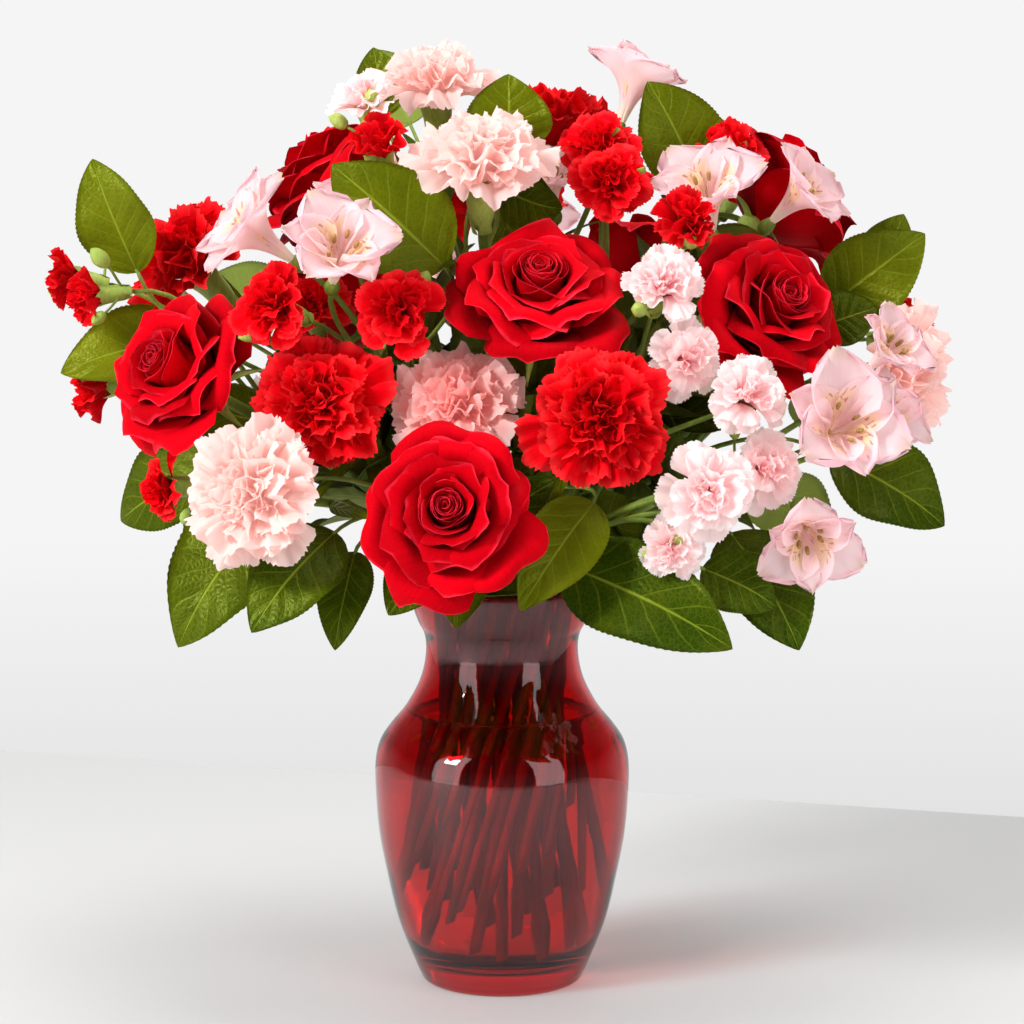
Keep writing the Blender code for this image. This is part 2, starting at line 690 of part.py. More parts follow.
def build_water(home, bench, layout):
    """Water up to its level, fitted round the stems that stand in it."""
    inner = [(max(0.0, r - GAP), z + (GAP if r < 44 else 0)) for r, z in inner_wall()]
    below = [row for row in inner if row[1] < WATER_LEVEL]
    above = [row for row in inner if row[1] >= WATER_LEVEL][0]
    last = below[-1]
    share = (WATER_LEVEL - last[1]) / (above[1] - last[1])
    edge = (last[0] + share * (above[0] - last[0]), WATER_LEVEL)
    profile = [(0.0, WATER_LEVEL), edge] + list(reversed(below))
    water = turned("water", profile, VASE_SIDES, home, "water")
    cutters = []
    for name, kind, _, _, _, slot, low in layout:
        rows = [(stem_place(slot, low - GAP), STEM[kind] + GAP * 1.3),
                (stem_place(slot, WATER_LEVEL + 20), STEM[kind] + GAP * 1.3)]
        cutters.append(tube(f"{name}_way", rows, bench, "stem"))
    place = bpy.data.meshes.new("stem_ways")
    work = bmesh.new()
    for cutter in cutters:
        work.from_mesh(cutter.data)
        bpy.data.objects.remove(cutter)
    work.to_mesh(place)
    work.free()
    tool = place_object("stem_ways", place, bench, "stem")
    cut = water.modifiers.new("stem_ways", "BOOLEAN")
    cut.operation = "DIFFERENCE"
    cut.solver = "EXACT"
    cut.object = tool


def main():
    """Clear the scene, then build the vase, the water and every plant."""
    for item in list(bpy.data.objects):
        bpy.data.objects.remove(item, do_unlink=True)
    home = collection("carnations_in_a_vase")
    bench = collection("guides")
    layout, points = arrange()
    build_vase(home)
    build_water(home, bench, layout)
    for entry in layout:
        build_plant(entry, points, home, bench)
    for item in bench.objects:
        item.hide_render = True
        item.display_type = "WIRE"


main()
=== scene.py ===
"""Looks for a mixed bouquet standing in a ruby glass vase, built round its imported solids."""
import math

import bpy
import numpy as np
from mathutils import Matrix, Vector


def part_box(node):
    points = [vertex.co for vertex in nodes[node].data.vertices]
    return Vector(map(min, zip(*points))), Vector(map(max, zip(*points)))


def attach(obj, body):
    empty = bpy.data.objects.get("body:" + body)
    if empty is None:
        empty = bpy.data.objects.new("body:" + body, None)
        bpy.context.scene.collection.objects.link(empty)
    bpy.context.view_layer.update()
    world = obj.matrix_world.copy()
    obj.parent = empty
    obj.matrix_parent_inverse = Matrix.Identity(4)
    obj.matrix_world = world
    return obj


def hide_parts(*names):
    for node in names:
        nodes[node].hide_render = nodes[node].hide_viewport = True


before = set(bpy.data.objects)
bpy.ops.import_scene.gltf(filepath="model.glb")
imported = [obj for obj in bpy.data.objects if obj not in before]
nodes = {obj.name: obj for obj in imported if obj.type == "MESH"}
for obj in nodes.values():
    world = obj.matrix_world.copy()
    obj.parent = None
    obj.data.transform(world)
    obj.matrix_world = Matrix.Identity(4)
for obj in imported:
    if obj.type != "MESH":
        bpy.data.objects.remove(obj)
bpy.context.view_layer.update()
MM = 0.001
GOLDEN = math.pi * (3 - math.sqrt(5))


# ---------------------------------------------------------------------------------
# The vase: one piece of ruby soda glass, blown into a mould and fire-polished, with a
# heavy base. Its wall is thin at the flared lip and thick where it turns into the foot.

class Pile:
    """Grids of points gathered into one mesh, with UVs and one shade value for each grid."""

    def __init__(self):
        self.points, self.quads, self.uv, self.shade, self.count = [], [], [], [], 0

    def grid(self, p, shade=0.5, ring=False, thick=0.0, v_span=(0.0, 1.0)):
        """Add a (rows, columns, 3) sheet; ring joins its sides, thick gives it a back.

        The back takes U from 1 to 2, so a finish can tell it from the front.
        """
        rows, cols = p.shape[:2]
        across = cols if ring else cols - 1
        j, i = np.meshgrid(np.arange(rows - 1), np.arange(across), indexing="ij")
        k = (i + 1) % cols
        quads = np.stack([j * cols + i, j * cols + k, (j + 1) * cols + k, (j + 1) * cols + i], -1)
        quads = quads.reshape(-1, 4)
        v, u = np.meshgrid(np.linspace(*v_span, rows), np.linspace(0, 1, cols), indexing="ij")
        uv = np.stack([u, v], -1).reshape(-1, 2)
        sheets = [(p.reshape(-1, 3), quads)]
        if thick:
            back = p - sheet_normals(p) * thick
            sheets.append((back.reshape(-1, 3), quads[:, ::-1]))
            n = rows * cols
            rim = [j * cols for j in range(rows)] + [(rows - 1) * cols + i for i in range(1, cols)]
            rim += [j * cols + cols - 1 for j in range(rows - 2, -1, -1)]
            rim += [i for i in range(cols - 2, 0, -1)]
            rim = np.array(rim)
            after = np.roll(rim, -1)
            edge = np.stack([rim, rim + n, after + n, after], -1)
        for points, faces in sheets:
            self.quads.append(faces + self.count)
            self.points.append(points)
            self.uv.append(uv if faces is quads else uv + (1, 0))
            self.shade.append(np.full(len(points), shade))
            self.count += len(points)
        if thick:
            self.quads.append(edge + self.count - 2 * rows * cols)

    def piece(self, name, look, slot, *stands_for):
        """Make the object, give it its finish and tie it to the frame."""
        mesh = bpy.data.meshes.new(name)
        points = np.concatenate(self.points)
        quads = np.concatenate(self.quads)
        mesh.vertices.add(len(points))
        mesh.vertices.foreach_set("co", points.ravel())
        mesh.loops.add(quads.size)
        mesh.loops.foreach_set("vertex_index", quads.ravel())
        mesh.polygons.add(len(quads))
        mesh.polygons.foreach_set("loop_start", np.arange(0, quads.size, 4))
        mesh.update(calc_edges=True)
        mesh.polygons.foreach_set("use_smooth", np.ones(len(quads), bool))
        layer = mesh.uv_layers.new(name="along")
        layer.data.foreach_set("uv", np.concatenate(self.uv)[quads.ravel()].ravel())
        tone = mesh.attributes.new("shade", "FLOAT", "POINT")
        tone.data.foreach_set("value", np.concatenate(self.shade))
        mesh.validate()
        mesh.materials.append(look)
        item = bpy.data.objects.new(name, mesh)
        bpy.context.scene.collection.objects.link(item)
        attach(item, "root")
        if stands_for:
            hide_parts(*stands_for)
        return item


def sheet_normals(p):
    """Unit normals of a sheet of points."""
    n = np.cross(np.gradient(p, axis=1), np.gradient(p, axis=0))
    return n / np.maximum(np.linalg.norm(n, axis=-1, keepdims=True), 1e-12)


def feed(tree, made, **sockets):
    """Set a node's sockets, each given by its name or as i and its number.

    A socket that is given another socket is linked to it.
    """
    for key, value in sockets.items():
        which = int(key[1:]) if key[0] == "i" and key[1:].isdigit() else key.replace("_", " ")
        if isinstance(value, bpy.types.NodeSocket):
            tree.links.new(value, made.inputs[which])
        else:
            made.inputs[which].default_value = value
    return made


def node(tree, kind, **sockets):
    return feed(tree, tree.nodes.new(kind), **sockets)


def math_node(tree, operation, a, b=0.0, c=0.0, clamp=False):
    made = node(tree, "ShaderNodeMath", i0=a, i1=b, i2=c)
    made.operation = operation
    made.use_clamp = clamp
    return made.outputs[0]


def times(tree, a, b):
    return math_node(tree, "MULTIPLY", a, b)


def blend_colour(tree, amount, a, b, how="MIX"):
    made = tree.nodes.new("ShaderNodeMix")
    made.data_type = "RGBA"
    made.blend_type = how
    return feed(tree, made, i0=amount, i6=a, i7=b).outputs[2]


def own_place(tree):
    """Where a point of the piece is, in metres."""
    return node(tree, "ShaderNodeTexCoord").outputs["Object"]


def noise(tree, place, scale, detail):
    return node(tree, "ShaderNodeTexNoise", Vector=place, Scale=scale, Detail=detail).outputs["Fac"]


def ramp(tree, value, low, high, start=0.0, end=1.0, soft=False):
    """Value carried from the span low to high onto start to end, and held there outside it."""
    made = node(tree, "ShaderNodeMapRange", Value=value, i1=low, i2=high, i3=start, i4=end)
    made.interpolation_type = "SMOOTHSTEP" if soft else "LINEAR"
    return made.outputs[0]


def relief(tree, shader, height, strength, distance):
    """Give a shader a bump from height."""
    bump = node(tree, "ShaderNodeBump", Strength=strength, Distance=distance, Height=height)
    feed(tree, shader, Normal=bump.outputs["Normal"])


def mixed(tree, out, share, first, second):
    """End a material in two shaders, share being how much of it is the second."""
    both = node(tree, "ShaderNodeMixShader", i0=share, i1=first.outputs[0], i2=second.outputs[0])
    feed(tree, out, Surface=both.outputs[0])


def fresh_material(name):
    """A new material: itself, its node tree, its main shader and its output."""
    made = bpy.data.materials.new(name)
    made.use_nodes = True
    tree = made.node_tree
    shader = tree.nodes["Principled BSDF"]
    return made, tree, shader, tree.nodes["Material Output"]


def round_axis(radius, turn, height):
    """Points at a radius, a turn and a height about the Z axis."""
    return np.stack([radius * np.cos(turn), radius * np.sin(turn), height], -1)


def turned_sheet(profile, sides):
    """A profile of (radius, height) spun once round the Z axis."""
    r, z = np.array(profile).T
    return round_axis(r[:, None], np.linspace(0, math.tau, sides, endpoint=False),
                      np.repeat(z[:, None], sides, axis=1))


def smooth_line(points, steps):
    """A Catmull-Rom line through points, with steps between each pair."""
    points = np.asarray(points, float)
    ends = np.vstack([2 * points[0] - points[1], points, 2 * points[-1] - points[-2]])
    t = np.linspace(0, 1, steps, endpoint=False)[:, None]
    out = []
    for a, b, c, d in zip(ends, ends[1:], ends[2:], ends[3:]):
        out.append(0.5 * (2 * b + (c - a) * t + (2 * a - 5 * b + 4 * c - d) * t**2
                          + (3 * b - a - 3 * c + d) * t**3))
    return np.vstack(out + [points[-1:]])


def welded(name):
    """A solid's corner points without doubles, and the neighbours of each."""
    mesh = nodes[name].data
    raw = np.array([v.co[:] for v in mesh.vertices])
    _, first, back = np.unique(raw.round(6), axis=0, return_index=True, return_inverse=True)
    back = back.ravel()
    near = [set() for _ in first]
    for face in mesh.polygons:
        ring = [int(back[k]) for k in face.vertices]
        for a, b in zip(ring, ring[1:] + ring[:1]):
            if a != b:
                near[a].add(b)
                near[b].add(a)
    return raw[first], near


def turned_rings(name):
    """Radius and height of each ring of a solid turned about the vase's axis."""
    points, _ = welded(name)
    pairs = {(round(math.hypot(x, y), 4), round(z, 4)) for x, y, z in points}
    return sorted(pairs, key=lambda pair: pair[1])


VASE_SIDES = 160
WALL = 3.4 * MM
BELLY = 100 * MM
SAME_LEVEL = 2.2 * MM
LIP_ROUND = 2.6 * MM
BOWL_TOP = 24 * MM
FLOOR = 11 * MM
vase_rings = turned_rings("vase")
outer = []
for radius, height in vase_rings:
    rivals = [r for r, z in vase_rings if abs(z - height) < SAME_LEVEL]
    if height < BELLY and (not outer or radius > outer[-1][0]) or \
            height >= BELLY and radius >= max(rivals):
        outer.append((radius, height))
LIP = outer[-1][1]
outer_line = smooth_line(outer, 6)
outer_line = outer_line[outer_line[:, 1] > 3 * MM]


def wall_radius(height):
    """Outer radius of the vase at a height."""
    return np.interp(height, outer_line[:, 1], outer_line[:, 0])


foot_curve = [(0.0, 1.6 * MM), (24 * MM, 1.6 * MM), (31 * MM, 0.9 * MM), (35 * MM, 0.1 * MM),
              (38 * MM, 0.0), (39.8 * MM, 1.0 * MM), (41 * MM, 2.6 * MM)]
inner_heights = np.linspace(LIP - LIP_ROUND, BOWL_TOP, 70)
inner_radii = wall_radius(inner_heights) - WALL * np.interp(
    inner_heights, (BOWL_TOP, 60 * MM, 190 * MM, LIP), (1.35, 1.0, 0.9, 0.75))
lip_turn = np.linspace(0.15, math.pi - 0.15, 7)
lip_radius = (wall_radius(LIP - LIP_ROUND) - inner_radii[0]) / 2
lip_middle = wall_radius(LIP - LIP_ROUND) - lip_radius
lip = np.stack([lip_middle + lip_radius * np.cos(lip_turn),
                LIP - LIP_ROUND + LIP_ROUND * np.sin(lip_turn)], -1)
bowl = [(42.6 * MM, 19 * MM), (39 * MM, 14.8 * MM), (33 * MM, 12.4 * MM), (22 * MM, 11.3 * MM),
        (10 * MM, 11 * MM), (0.0, FLOOR)]
vase_line = np.vstack([
    foot_curve, outer_line[(outer_line[:, 1] > 3.6 * MM) & (outer_line[:, 1] < LIP - 3 * MM)], lip,
    np.stack([inner_radii, inner_heights], -1), smooth_line(bowl, 3),
])


def clear_material(name, ior, shadow):
    """A clear, polished material whose shadow is light tinted by the shadow colour."""
    made, tree, shader, out = fresh_material(name)
    feed(tree, shader, Transmission_Weight=1.0, Roughness=0.0, IOR=ior)
    rays = node(tree, "ShaderNodeLightPath")
    through = node(tree, "ShaderNodeBsdfTransparent", Color=shadow)
    mixed(tree, out, rays.outputs["Is Shadow Ray"], shader, through)
    return made, tree, shader


THIN_RUBY = (0.68, 0.005, 0.012, 1)
DEEP_RUBY = (0.24, 0.0, 0.002, 1)
ruby, tree, shader = clear_material("ruby_glass", 1.56, (0.93, 0.82, 0.81, 1.0))
place = own_place(tree)
turning = node(tree, "ShaderNodeLayerWeight", Blend=0.28)
above_floor = node(tree, "ShaderNodeSeparateXYZ", Vector=place).outputs["Z"]
heavy = ramp(tree, above_floor, 0.006, 0.024, 0.9, 0.0)
deep = math_node(tree, "MAXIMUM", turning.outputs["Facing"], heavy)
feed(tree, shader, Base_Color=blend_colour(tree, deep, THIN_RUBY, DEEP_RUBY))
ripple = noise(tree, place, 16.0, 1.0)
seeds = noise(tree, place, 420.0, 0.0)
relief(tree, shader, math_node(tree, "MULTIPLY_ADD", seeds, 0.03, ripple), 0.12, 0.004)

vase = Pile()
vase.grid(turned_sheet(vase_line, VASE_SIDES), ring=True)
vase.piece("ruby_vase", ruby, "vase_glass", "vase")


# ---------------------------------------------------------------------------------
# The water: tap water up to the shoulder of the vase, drawn up a little where it meets
# the glass. It fills the vase from wall to wall round the stems.

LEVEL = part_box("water")[1][2]
SKIN = 0.15 * MM
edge = wall_radius(LEVEL) - WALL
surface = [(0.0, LEVEL), (edge * 0.5, LEVEL), (edge - 5 * MM, LEVEL), (edge - 2 * MM, LEVEL + 0.4 * MM),
           (edge - 0.7 * MM, LEVEL + 1.2 * MM), (edge - SKIN, LEVEL + 2.2 * MM)]
side_heights = np.linspace(LEVEL + 1.6 * MM, BOWL_TOP, 50)
side_radii = np.interp(side_heights, inner_heights[::-1], inner_radii[::-1]) - SKIN
water_line = np.vstack([
    surface, np.stack([side_radii, side_heights], -1),
    [(r - SKIN, z + SKIN) for r, z in smooth_line(bowl, 3)[:-1]], [(0.0, FLOOR + SKIN)],
])
clear_water, tree, shader = clear_material("water", 1.33, (0.95, 0.93, 0.92, 1.0))
feed(tree, shader, Base_Color=(0.96, 0.93, 0.90, 1.0))
relief(tree, shader, noise(tree, own_place(tree), 55.0, 1.0), 0.06, 0.002)

water = Pile()
water.grid(turned_sheet(water_line[::-1], 128), ring=True)
water.piece("water_fill", clear_water, "water", "water")


# ---------------------------------------------------------------------------------
# The stems: fresh cut stems, green and a little waxy, stripped below the lip, cut on the
# slant and standing loose in the water. They cross in the neck, which holds them.

def stem_middles(name):
    """Middle of each ring of corners along a stem, from its cut end to its fork."""
    points, near = welded(name)
    ring = set(np.argsort(points[:, 2])[:6].tolist())
    seen, middles = set(ring), []
    while ring and len(ring) <= 8:
        middles.append(points[list(ring)].mean(axis=0))
        ring = set().union(*(near[k] for k in ring)) - seen
        seen |= ring
    return np.array(middles)


def tube_sheet(path, radii, sides):
    """A round skin along a path, turned as little as possible from ring to ring."""
    path = np.asarray(path, float)
    radii = np.broadcast_to(np.asarray(radii, float), (len(path),))
    ways = np.gradient(path, axis=0)
    ways /= np.linalg.norm(ways, axis=1, keepdims=True)
    side = np.cross(ways[0], (0.31, 0.94, 0.13))
    turn = np.linspace(0, math.tau, sides, endpoint=False)
    out = []
    for place, way, radius in zip(path, ways, radii):
        side = side - way * np.dot(side, way)
        side /= np.linalg.norm(side)
        up = np.cross(way, side)
        out.append(place + radius * (np.cos(turn)[:, None] * side + np.sin(turn)[:, None] * up))
    return np.array(out)


def closed_tube(pile, path, radii, sides, slant=0.0):
    """A tube with rounded-in ends; slant shears the low end as a knife cut does."""
    path = np.asarray(path, float)
    radii = np.array(np.broadcast_to(np.asarray(radii, float), (len(path),)))
    sheet = tube_sheet(path, radii, sides)
    if slant:
        low = sheet[0]
        low[:, 2] += slant * (low[:, 0] - path[0][0])
    first, last = sheet[0].mean(axis=0), sheet[-1].mean(axis=0)
    caps_low = first + (sheet[0] - first) * np.array([0.02, 0.8])[:, None, None]
    caps_high = last + (sheet[-1] - last) * np.array([0.8, 0.02])[:, None, None]
    pile.grid(np.concatenate([caps_low, sheet, caps_high]), ring=True)


def unit(v):
    v = np.asarray(v, float)
    return v / np.linalg.norm(v)


def side_axes(axis):
    """Two directions square to an axis."""
    u = unit(np.cross(axis, (0, 0, 1) if abs(axis[2]) < 0.9 else (0, 1, 0)))
    return u, np.cross(axis, u)


def placed(p, foot, axis, spin=0.0):
    """Points of a shape that grows along +Z from the origin, stood on foot along axis."""
    u, v = side_axes(axis)
    u, v = u * math.cos(spin) + v * math.sin(spin), v * math.cos(spin) - u * math.sin(spin)
    return foot + p[..., :1] * u + p[..., 1:2] * v + p[..., 2:] * np.asarray(axis)


def new_group(name, inputs, outputs):
    """A node group: itself, what it is given, and the node that takes its results."""
    group = bpy.data.node_groups.new(name, "ShaderNodeTree")
    for side, sockets in (("INPUT", inputs), ("OUTPUT", outputs)):
        for title, kind in sockets:
            group.interface.new_socket(title, in_out=side, socket_type=f"NodeSocket{kind}")
    return group, group.nodes.new("NodeGroupInput").outputs, group.nodes.new("NodeGroupOutput")


def placed_group(tree, group, **values):
    """The outputs of a group that is placed in a material with its own values."""
    made = tree.nodes.new("ShaderNodeGroup")
    made.node_tree = group
    return feed(tree, made, **values).outputs


def streaked_green():
    """Group: plant green that drifts along the piece, with fine lengthwise streaks."""
    group, given, taken = new_group(
        "streaked_green", (("Young", "Color"), ("Old", "Color"), ("Least", "Float")),
        (("Color", "Color"), ("Roughness", "Float"), ("Height", "Float")))
    place = own_place(group)
    drift = noise(group, place, 38.0, 3.0)
    stretch = node(group, "ShaderNodeMapping", Vector=place, Scale=(900.0, 900.0, 60.0))
    streak = noise(group, stretch.outputs[0], 1.0, 2.0)
    colour = blend_colour(group, ramp(group, drift, 0.35, 0.68), given["Young"], given["Old"])
    tone = ramp(group, streak, 0.3, 0.7, 0.82, 1.1)
    colour = blend_colour(group, 1.0, colour, tone, "MULTIPLY")
    rough = math_node(group, "MULTIPLY_ADD", streak, 0.15, given["Least"])
    feed(group, taken, Color=colour, Roughness=rough, Height=streak)
    return group


green_group = streaked_green()


def green_skin(name, young, old, least):
    """Waxy plant green that drifts from young to old; least is its lowest roughness."""
    made, tree, shader, _ = fresh_material(name)
    skin = placed_group(tree, green_group, Young=young, Old=old, Least=least)
    feed(tree, shader, Base_Color=skin["Color"], Roughness=skin["Roughness"], Specular_IOR_Level=0.4)
    relief(tree, shader, skin["Height"], 0.25, 0.0004)
    return made


stem_green = green_skin("stem_green", (0.22, 0.31, 0.035, 1), (0.10, 0.17, 0.012, 1), 0.45)
calyx_green = green_skin("calyx_green", (0.40, 0.52, 0.10, 1), (0.20, 0.31, 0.03, 1), 0.5)


def way_along(line):
    """Distance from a line's first point to each of its points."""
    return np.concatenate([[0], np.cumsum(np.linalg.norm(np.diff(line, axis=0), axis=1))])


ROSE_STEM = 2.9 * MM
CARNATION_STEM = 2.2 * MM
JOINT_GAP = 72 * MM
JOINT_HALF = 2.6 * MM
KNIFE_SLANT = 0.7
rose_names = [f"rose_{k}" for k in range(1, 9)]
carnation_names = [f"carnation_{k}" for k in range(1, 12)]
stem_lines, growth = {}, {}
for name in rose_names + carnation_names:
    middles = stem_middles(f"{name}_stem")
    growth[name] = (middles[-1], unit(middles[-1] - middles[-2]))
    stem_lines[name] = smooth_line(middles, 10)
    line = stem_lines[name][:-4]
    girth = np.full(len(line), ROSE_STEM if name in rose_names else CARNATION_STEM)
    if name in carnation_names:
        joint = np.abs((way_along(line) + 20 * MM) % JOINT_GAP - JOINT_GAP / 2)
        girth = girth * (1 + 0.75 * np.exp(-(joint / JOINT_HALF) ** 2))
    pile = Pile()
    closed_tube(pile, line, girth, 12, slant=KNIFE_SLANT)
    pile.piece(f"{name}_stalk", stem_green, "green_stem", f"{name}_stem")


# ---------------------------------------------------------------------------------
# The roses: large red hybrid-tea blooms, half open. About forty velvety petals spiral out
# from a tight heart, each one cupped, with its rim rolled back to a soft point.

def smooth(x):
    x = np.clip(x, 0, 1)
    return x * x * (3 - 2 * x)


def lerp(a, b, t):
    return a + (b - a) * t


def blank(cols, rows):
    """U from -1 to 1 across a new sheet and V from 0 to 1 along it."""
    return np.meshgrid(np.linspace(-1, 1, cols), np.linspace(0, 1, rows))


def grown(s, length, lift):
    """Reach and rise of a petal grown from foot to rim, lift being its slope at each point."""
    step = np.diff(s, axis=0, prepend=0) * length
    return np.cumsum(np.cos(lift) * step, axis=0), np.cumsum(np.sin(lift) * step, axis=0)


def swept_petal(u, s, length, foot_radius, lift, half, closest, widest):
    """Radius, height and turn of a petal that wraps round its bloom's axis.

    Half is its half-width at each point. It wraps no tighter than at the radius closest,
    and turns no further than widest to either side.
    """
    reach, z = grown(s, length, lift)
    r = foot_radius + reach
    return r, z, np.clip(u * half / np.maximum(r, closest), -widest, widest)


def rose_petal(t, rng):
    """One rose petal; t is 0 in the heart and 1 at the outside.

    It bows out to its own place in the bowl, stands up, and turns over at its rim.
    """
    u, x = blank(17, 19)
    v = 1 - (1 - x) ** 1.35
    guard = smooth((t - 0.80) / 0.2)
    length = lerp(40, 50, t**0.8) * MM * rng.uniform(0.95, 1.05)
    point = (0.02 + 0.06 * t) * np.exp(-(u / 0.16) ** 2)
    s = v * (1 - (0.06 + 0.12 * t) * np.abs(u) ** 2.4 + point)
    foot_radius = (1.0 + 3.2 * t) * MM
    bowl_radius = (1.8 + 19.5 * t**0.8) * MM
    foot_lift = math.degrees(math.acos(min(0.97, (bowl_radius - foot_radius) / (0.36 * length))))
    cup_lift = lerp(97, 62, smooth((t - 0.45) / 0.55)) - 20 * guard + rng.uniform(-4, 4)
    roll = lerp(14, 118, smooth((t - 0.38) / 0.5)) * rng.uniform(0.7, 1.15)
    lift = foot_lift + (cup_lift - foot_lift) * smooth((s - 0.18) / 0.3)
    lift = lift - roll * smooth((s - 0.78) / 0.25)
    lean = rng.uniform(-0.25, 0.25)
    lift = lift - 62 * smooth((t - 0.38) * 2.2) * np.abs(u - lean) ** 2.6 * smooth((s - 0.4) / 0.5)
    half = lerp(11, 29, t**0.7) * MM * rng.uniform(0.92, 1.06)
    half = half * (0.26 + 0.74 * np.sin(np.pi / 2 * np.clip(s / 0.62, 0, 1)))
    half = half * np.sqrt(1 - 0.42 * np.clip((s - 0.72) / 0.36, 0, 1) ** 2)
    r, z, turn = swept_petal(u, s, length, foot_radius, np.radians(lift), half, 4.2 * MM, 2.6)
    r = r * (1 + (0.07 + 0.10 * (1 - t)) * u)
    wave = np.sin(u * rng.uniform(2, 5) + rng.uniform(0, 6)) * s**4
    z = z + 2.4 * MM * wave * t
    r = r + 2.2 * MM * np.cos(u * rng.uniform(3, 5.5) + rng.uniform(0, 6)) * s**4 * t
    return round_axis(r, turn, z)


def along_uv(tree):
    """The outputs of a sheet's UV: X runs across it and Y along it."""
    along = node(tree, "ShaderNodeUVMap")
    along.uv_map = "along"
    return node(tree, "ShaderNodeSeparateXYZ", Vector=along.outputs[0]).outputs


def own_shade(tree):
    """The shade value that each sheet of a pile was given."""
    own = node(tree, "ShaderNodeAttribute")
    own.attribute_name = "shade"
    return own.outputs["Fac"]


def petal_tint():
    """Group: foot, middle and rim colours along a petal, mottled, with fine veins."""
    group, given, taken = new_group(
        "petal_tint", (("Foot", "Color"), ("Middle", "Color"), ("Rim", "Color"), ("Foot End", "Float"),
                       ("Rim Start", "Float"), ("Vein Depth", "Float"), ("Variation", "Float")),
        (("Color", "Color"), ("Height", "Float")))
    uv = along_uv(group)
    place = own_place(group)
    blur = noise(group, place, 70.0, 2.0)
    wander = math_node(group, "MULTIPLY_ADD", blur, 0.24, -0.12)
    v = math_node(group, "ADD", uv["Y"], wander)
    low = ramp(group, v, 0.0, given["Foot End"], soft=True)
    high = ramp(group, v, given["Rim Start"], 1.02, soft=True)
    colour = blend_colour(group, low, given["Foot"], given["Middle"])
    colour = blend_colour(group, high, colour, given["Rim"])
    own = own_shade(group)
    spread = math_node(group, "SUBTRACT", own, 0.5)
    bright = math_node(group, "MULTIPLY_ADD", spread, given["Variation"], 1.0)
    fan = times(group, math_node(group, "SUBTRACT", uv["X"], 0.5), 46.0)
    threads = node(group, "ShaderNodeCombineXYZ", X=fan, Y=times(group, uv["Y"], 3.0),
                   Z=times(group, own, 19.0))
    vein = noise(group, threads.outputs[0], 1.0, 2.0)
    streak = math_node(group, "SUBTRACT", vein, 0.5)
    depth = math_node(group, "MULTIPLY_ADD", streak, given["Vein Depth"], bright)
    colour = blend_colour(group, 1.0, colour, depth, "MULTIPLY")
    feed(group, taken, Color=colour, Height=vein)
    return group


petal_group = petal_tint()


def lit_through(tree, shader, out, colour, through, share):
    """Let light through a thin piece, in its own colour times through."""
    lit = blend_colour(tree, 1.0, colour, through, "MULTIPLY")
    mixed(tree, out, share, shader, node(tree, "ShaderNodeBsdfTranslucent", Color=lit))


def petal_finish(name, foot, middle, rim, glow, through, rough, sheen, rim_start, veins, variation,
                 sheen_tint=(1, 1, 1, 1), foot_end=0.5, gloss=0.14, painted_glow=0.0):
    """A thin petal: tinted along its length, softly sheened, and letting light through. Its emission is a
    painted glow in its own colour, which lifts the shade in its folds.
    """
    made, tree, shader, out = fresh_material(name)
    tint = placed_group(tree, petal_group, Foot=foot, Middle=middle, Rim=rim, Foot_End=foot_end,
                        Rim_Start=rim_start, Vein_Depth=veins, Variation=variation)
    colour = tint["Color"]
    # The emission is painted light: the petal glows faintly in its own colour.
    feed(tree, shader, Base_Color=colour, Roughness=rough, Specular_IOR_Level=gloss,
         Specular_Tint=sheen_tint, Emission_Color=colour, Emission_Strength=painted_glow,
         Sheen_Weight=sheen, Sheen_Roughness=0.45, Sheen_Tint=sheen_tint)
    relief(tree, shader, tint["Height"], 0.3, 0.0005)
    lit_through(tree, shader, out, colour, through, glow)
    return made


# The dark foot of the rose petals is painted shade deep in the bloom, and the lighter rim is a painted
# highlight on the rolled edges.
rose_red = petal_finish(
    "rose_red", (0.34, 0.0005, 0.003, 1), (0.60, 0.0006, 0.006, 1), (0.86, 0.020, 0.045, 1), glow=0.10,
    through=(1.15, 0.8, 0.8, 1), rough=0.6, sheen=0.07, sheen_tint=(1.0, 0.06, 0.12, 1), rim_start=0.93,
    veins=0.28, variation=0.5, gloss=0.09)

ROSE_PETALS = 44
crowns = []


def crown_of(name):
    """Middle and rough radius of a bloom, which loose leaves stay clear of."""
    low, high = (np.array(corner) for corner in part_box(f"{name}_bloom"))
    return (low + high) / 2, 0.42 * (high - low).mean()


for number, name in enumerate(rose_names):
    foot, axis = growth[name]
    crowns.append(crown_of(name))
    rng = np.random.default_rng(40 + number)
    spin = rng.uniform(0, math.tau)
    size = rng.uniform(0.95, 1.0)
    bloom = Pile()
    for k in range(ROSE_PETALS):
        t = ((k + 0.5) / ROSE_PETALS) ** 0.95
        petal = rose_petal(t, rng) * size
        bloom.grid(placed(petal, foot, axis, spin + k * GOLDEN + rng.uniform(-0.12, 0.12)),
                   shade=rng.uniform(0, 1), thick=0.25 * MM)
    bloom.piece(f"{name}_petals", rose_red, "red_rose_petals", f"{name}_bloom")


# ---------------------------------------------------------------------------------
# Rose hips and sepals: the swollen green end of each rose stem, with five narrow sepals
# folded back from under the petals.

def sepal(length, width, first, last, rng):
    """A narrow pointed sepal starting on +X, its slope going from first to last degrees."""
    u, v = blank(5, 12)
    lift = np.radians(lerp(first, last, smooth(v * 1.2)))
    reach, rise = grown(v, length, lift)
    half = width * (1 - v) ** 0.8 * (0.55 + 1.1 * v * (1 - v))
    y = u * half + 1.5 * MM * v**2 * rng.uniform(-1, 1)
    return np.stack([4.5 * MM + reach, y, -2.5 * MM + rise + 0.35 * half * u**2], -1)


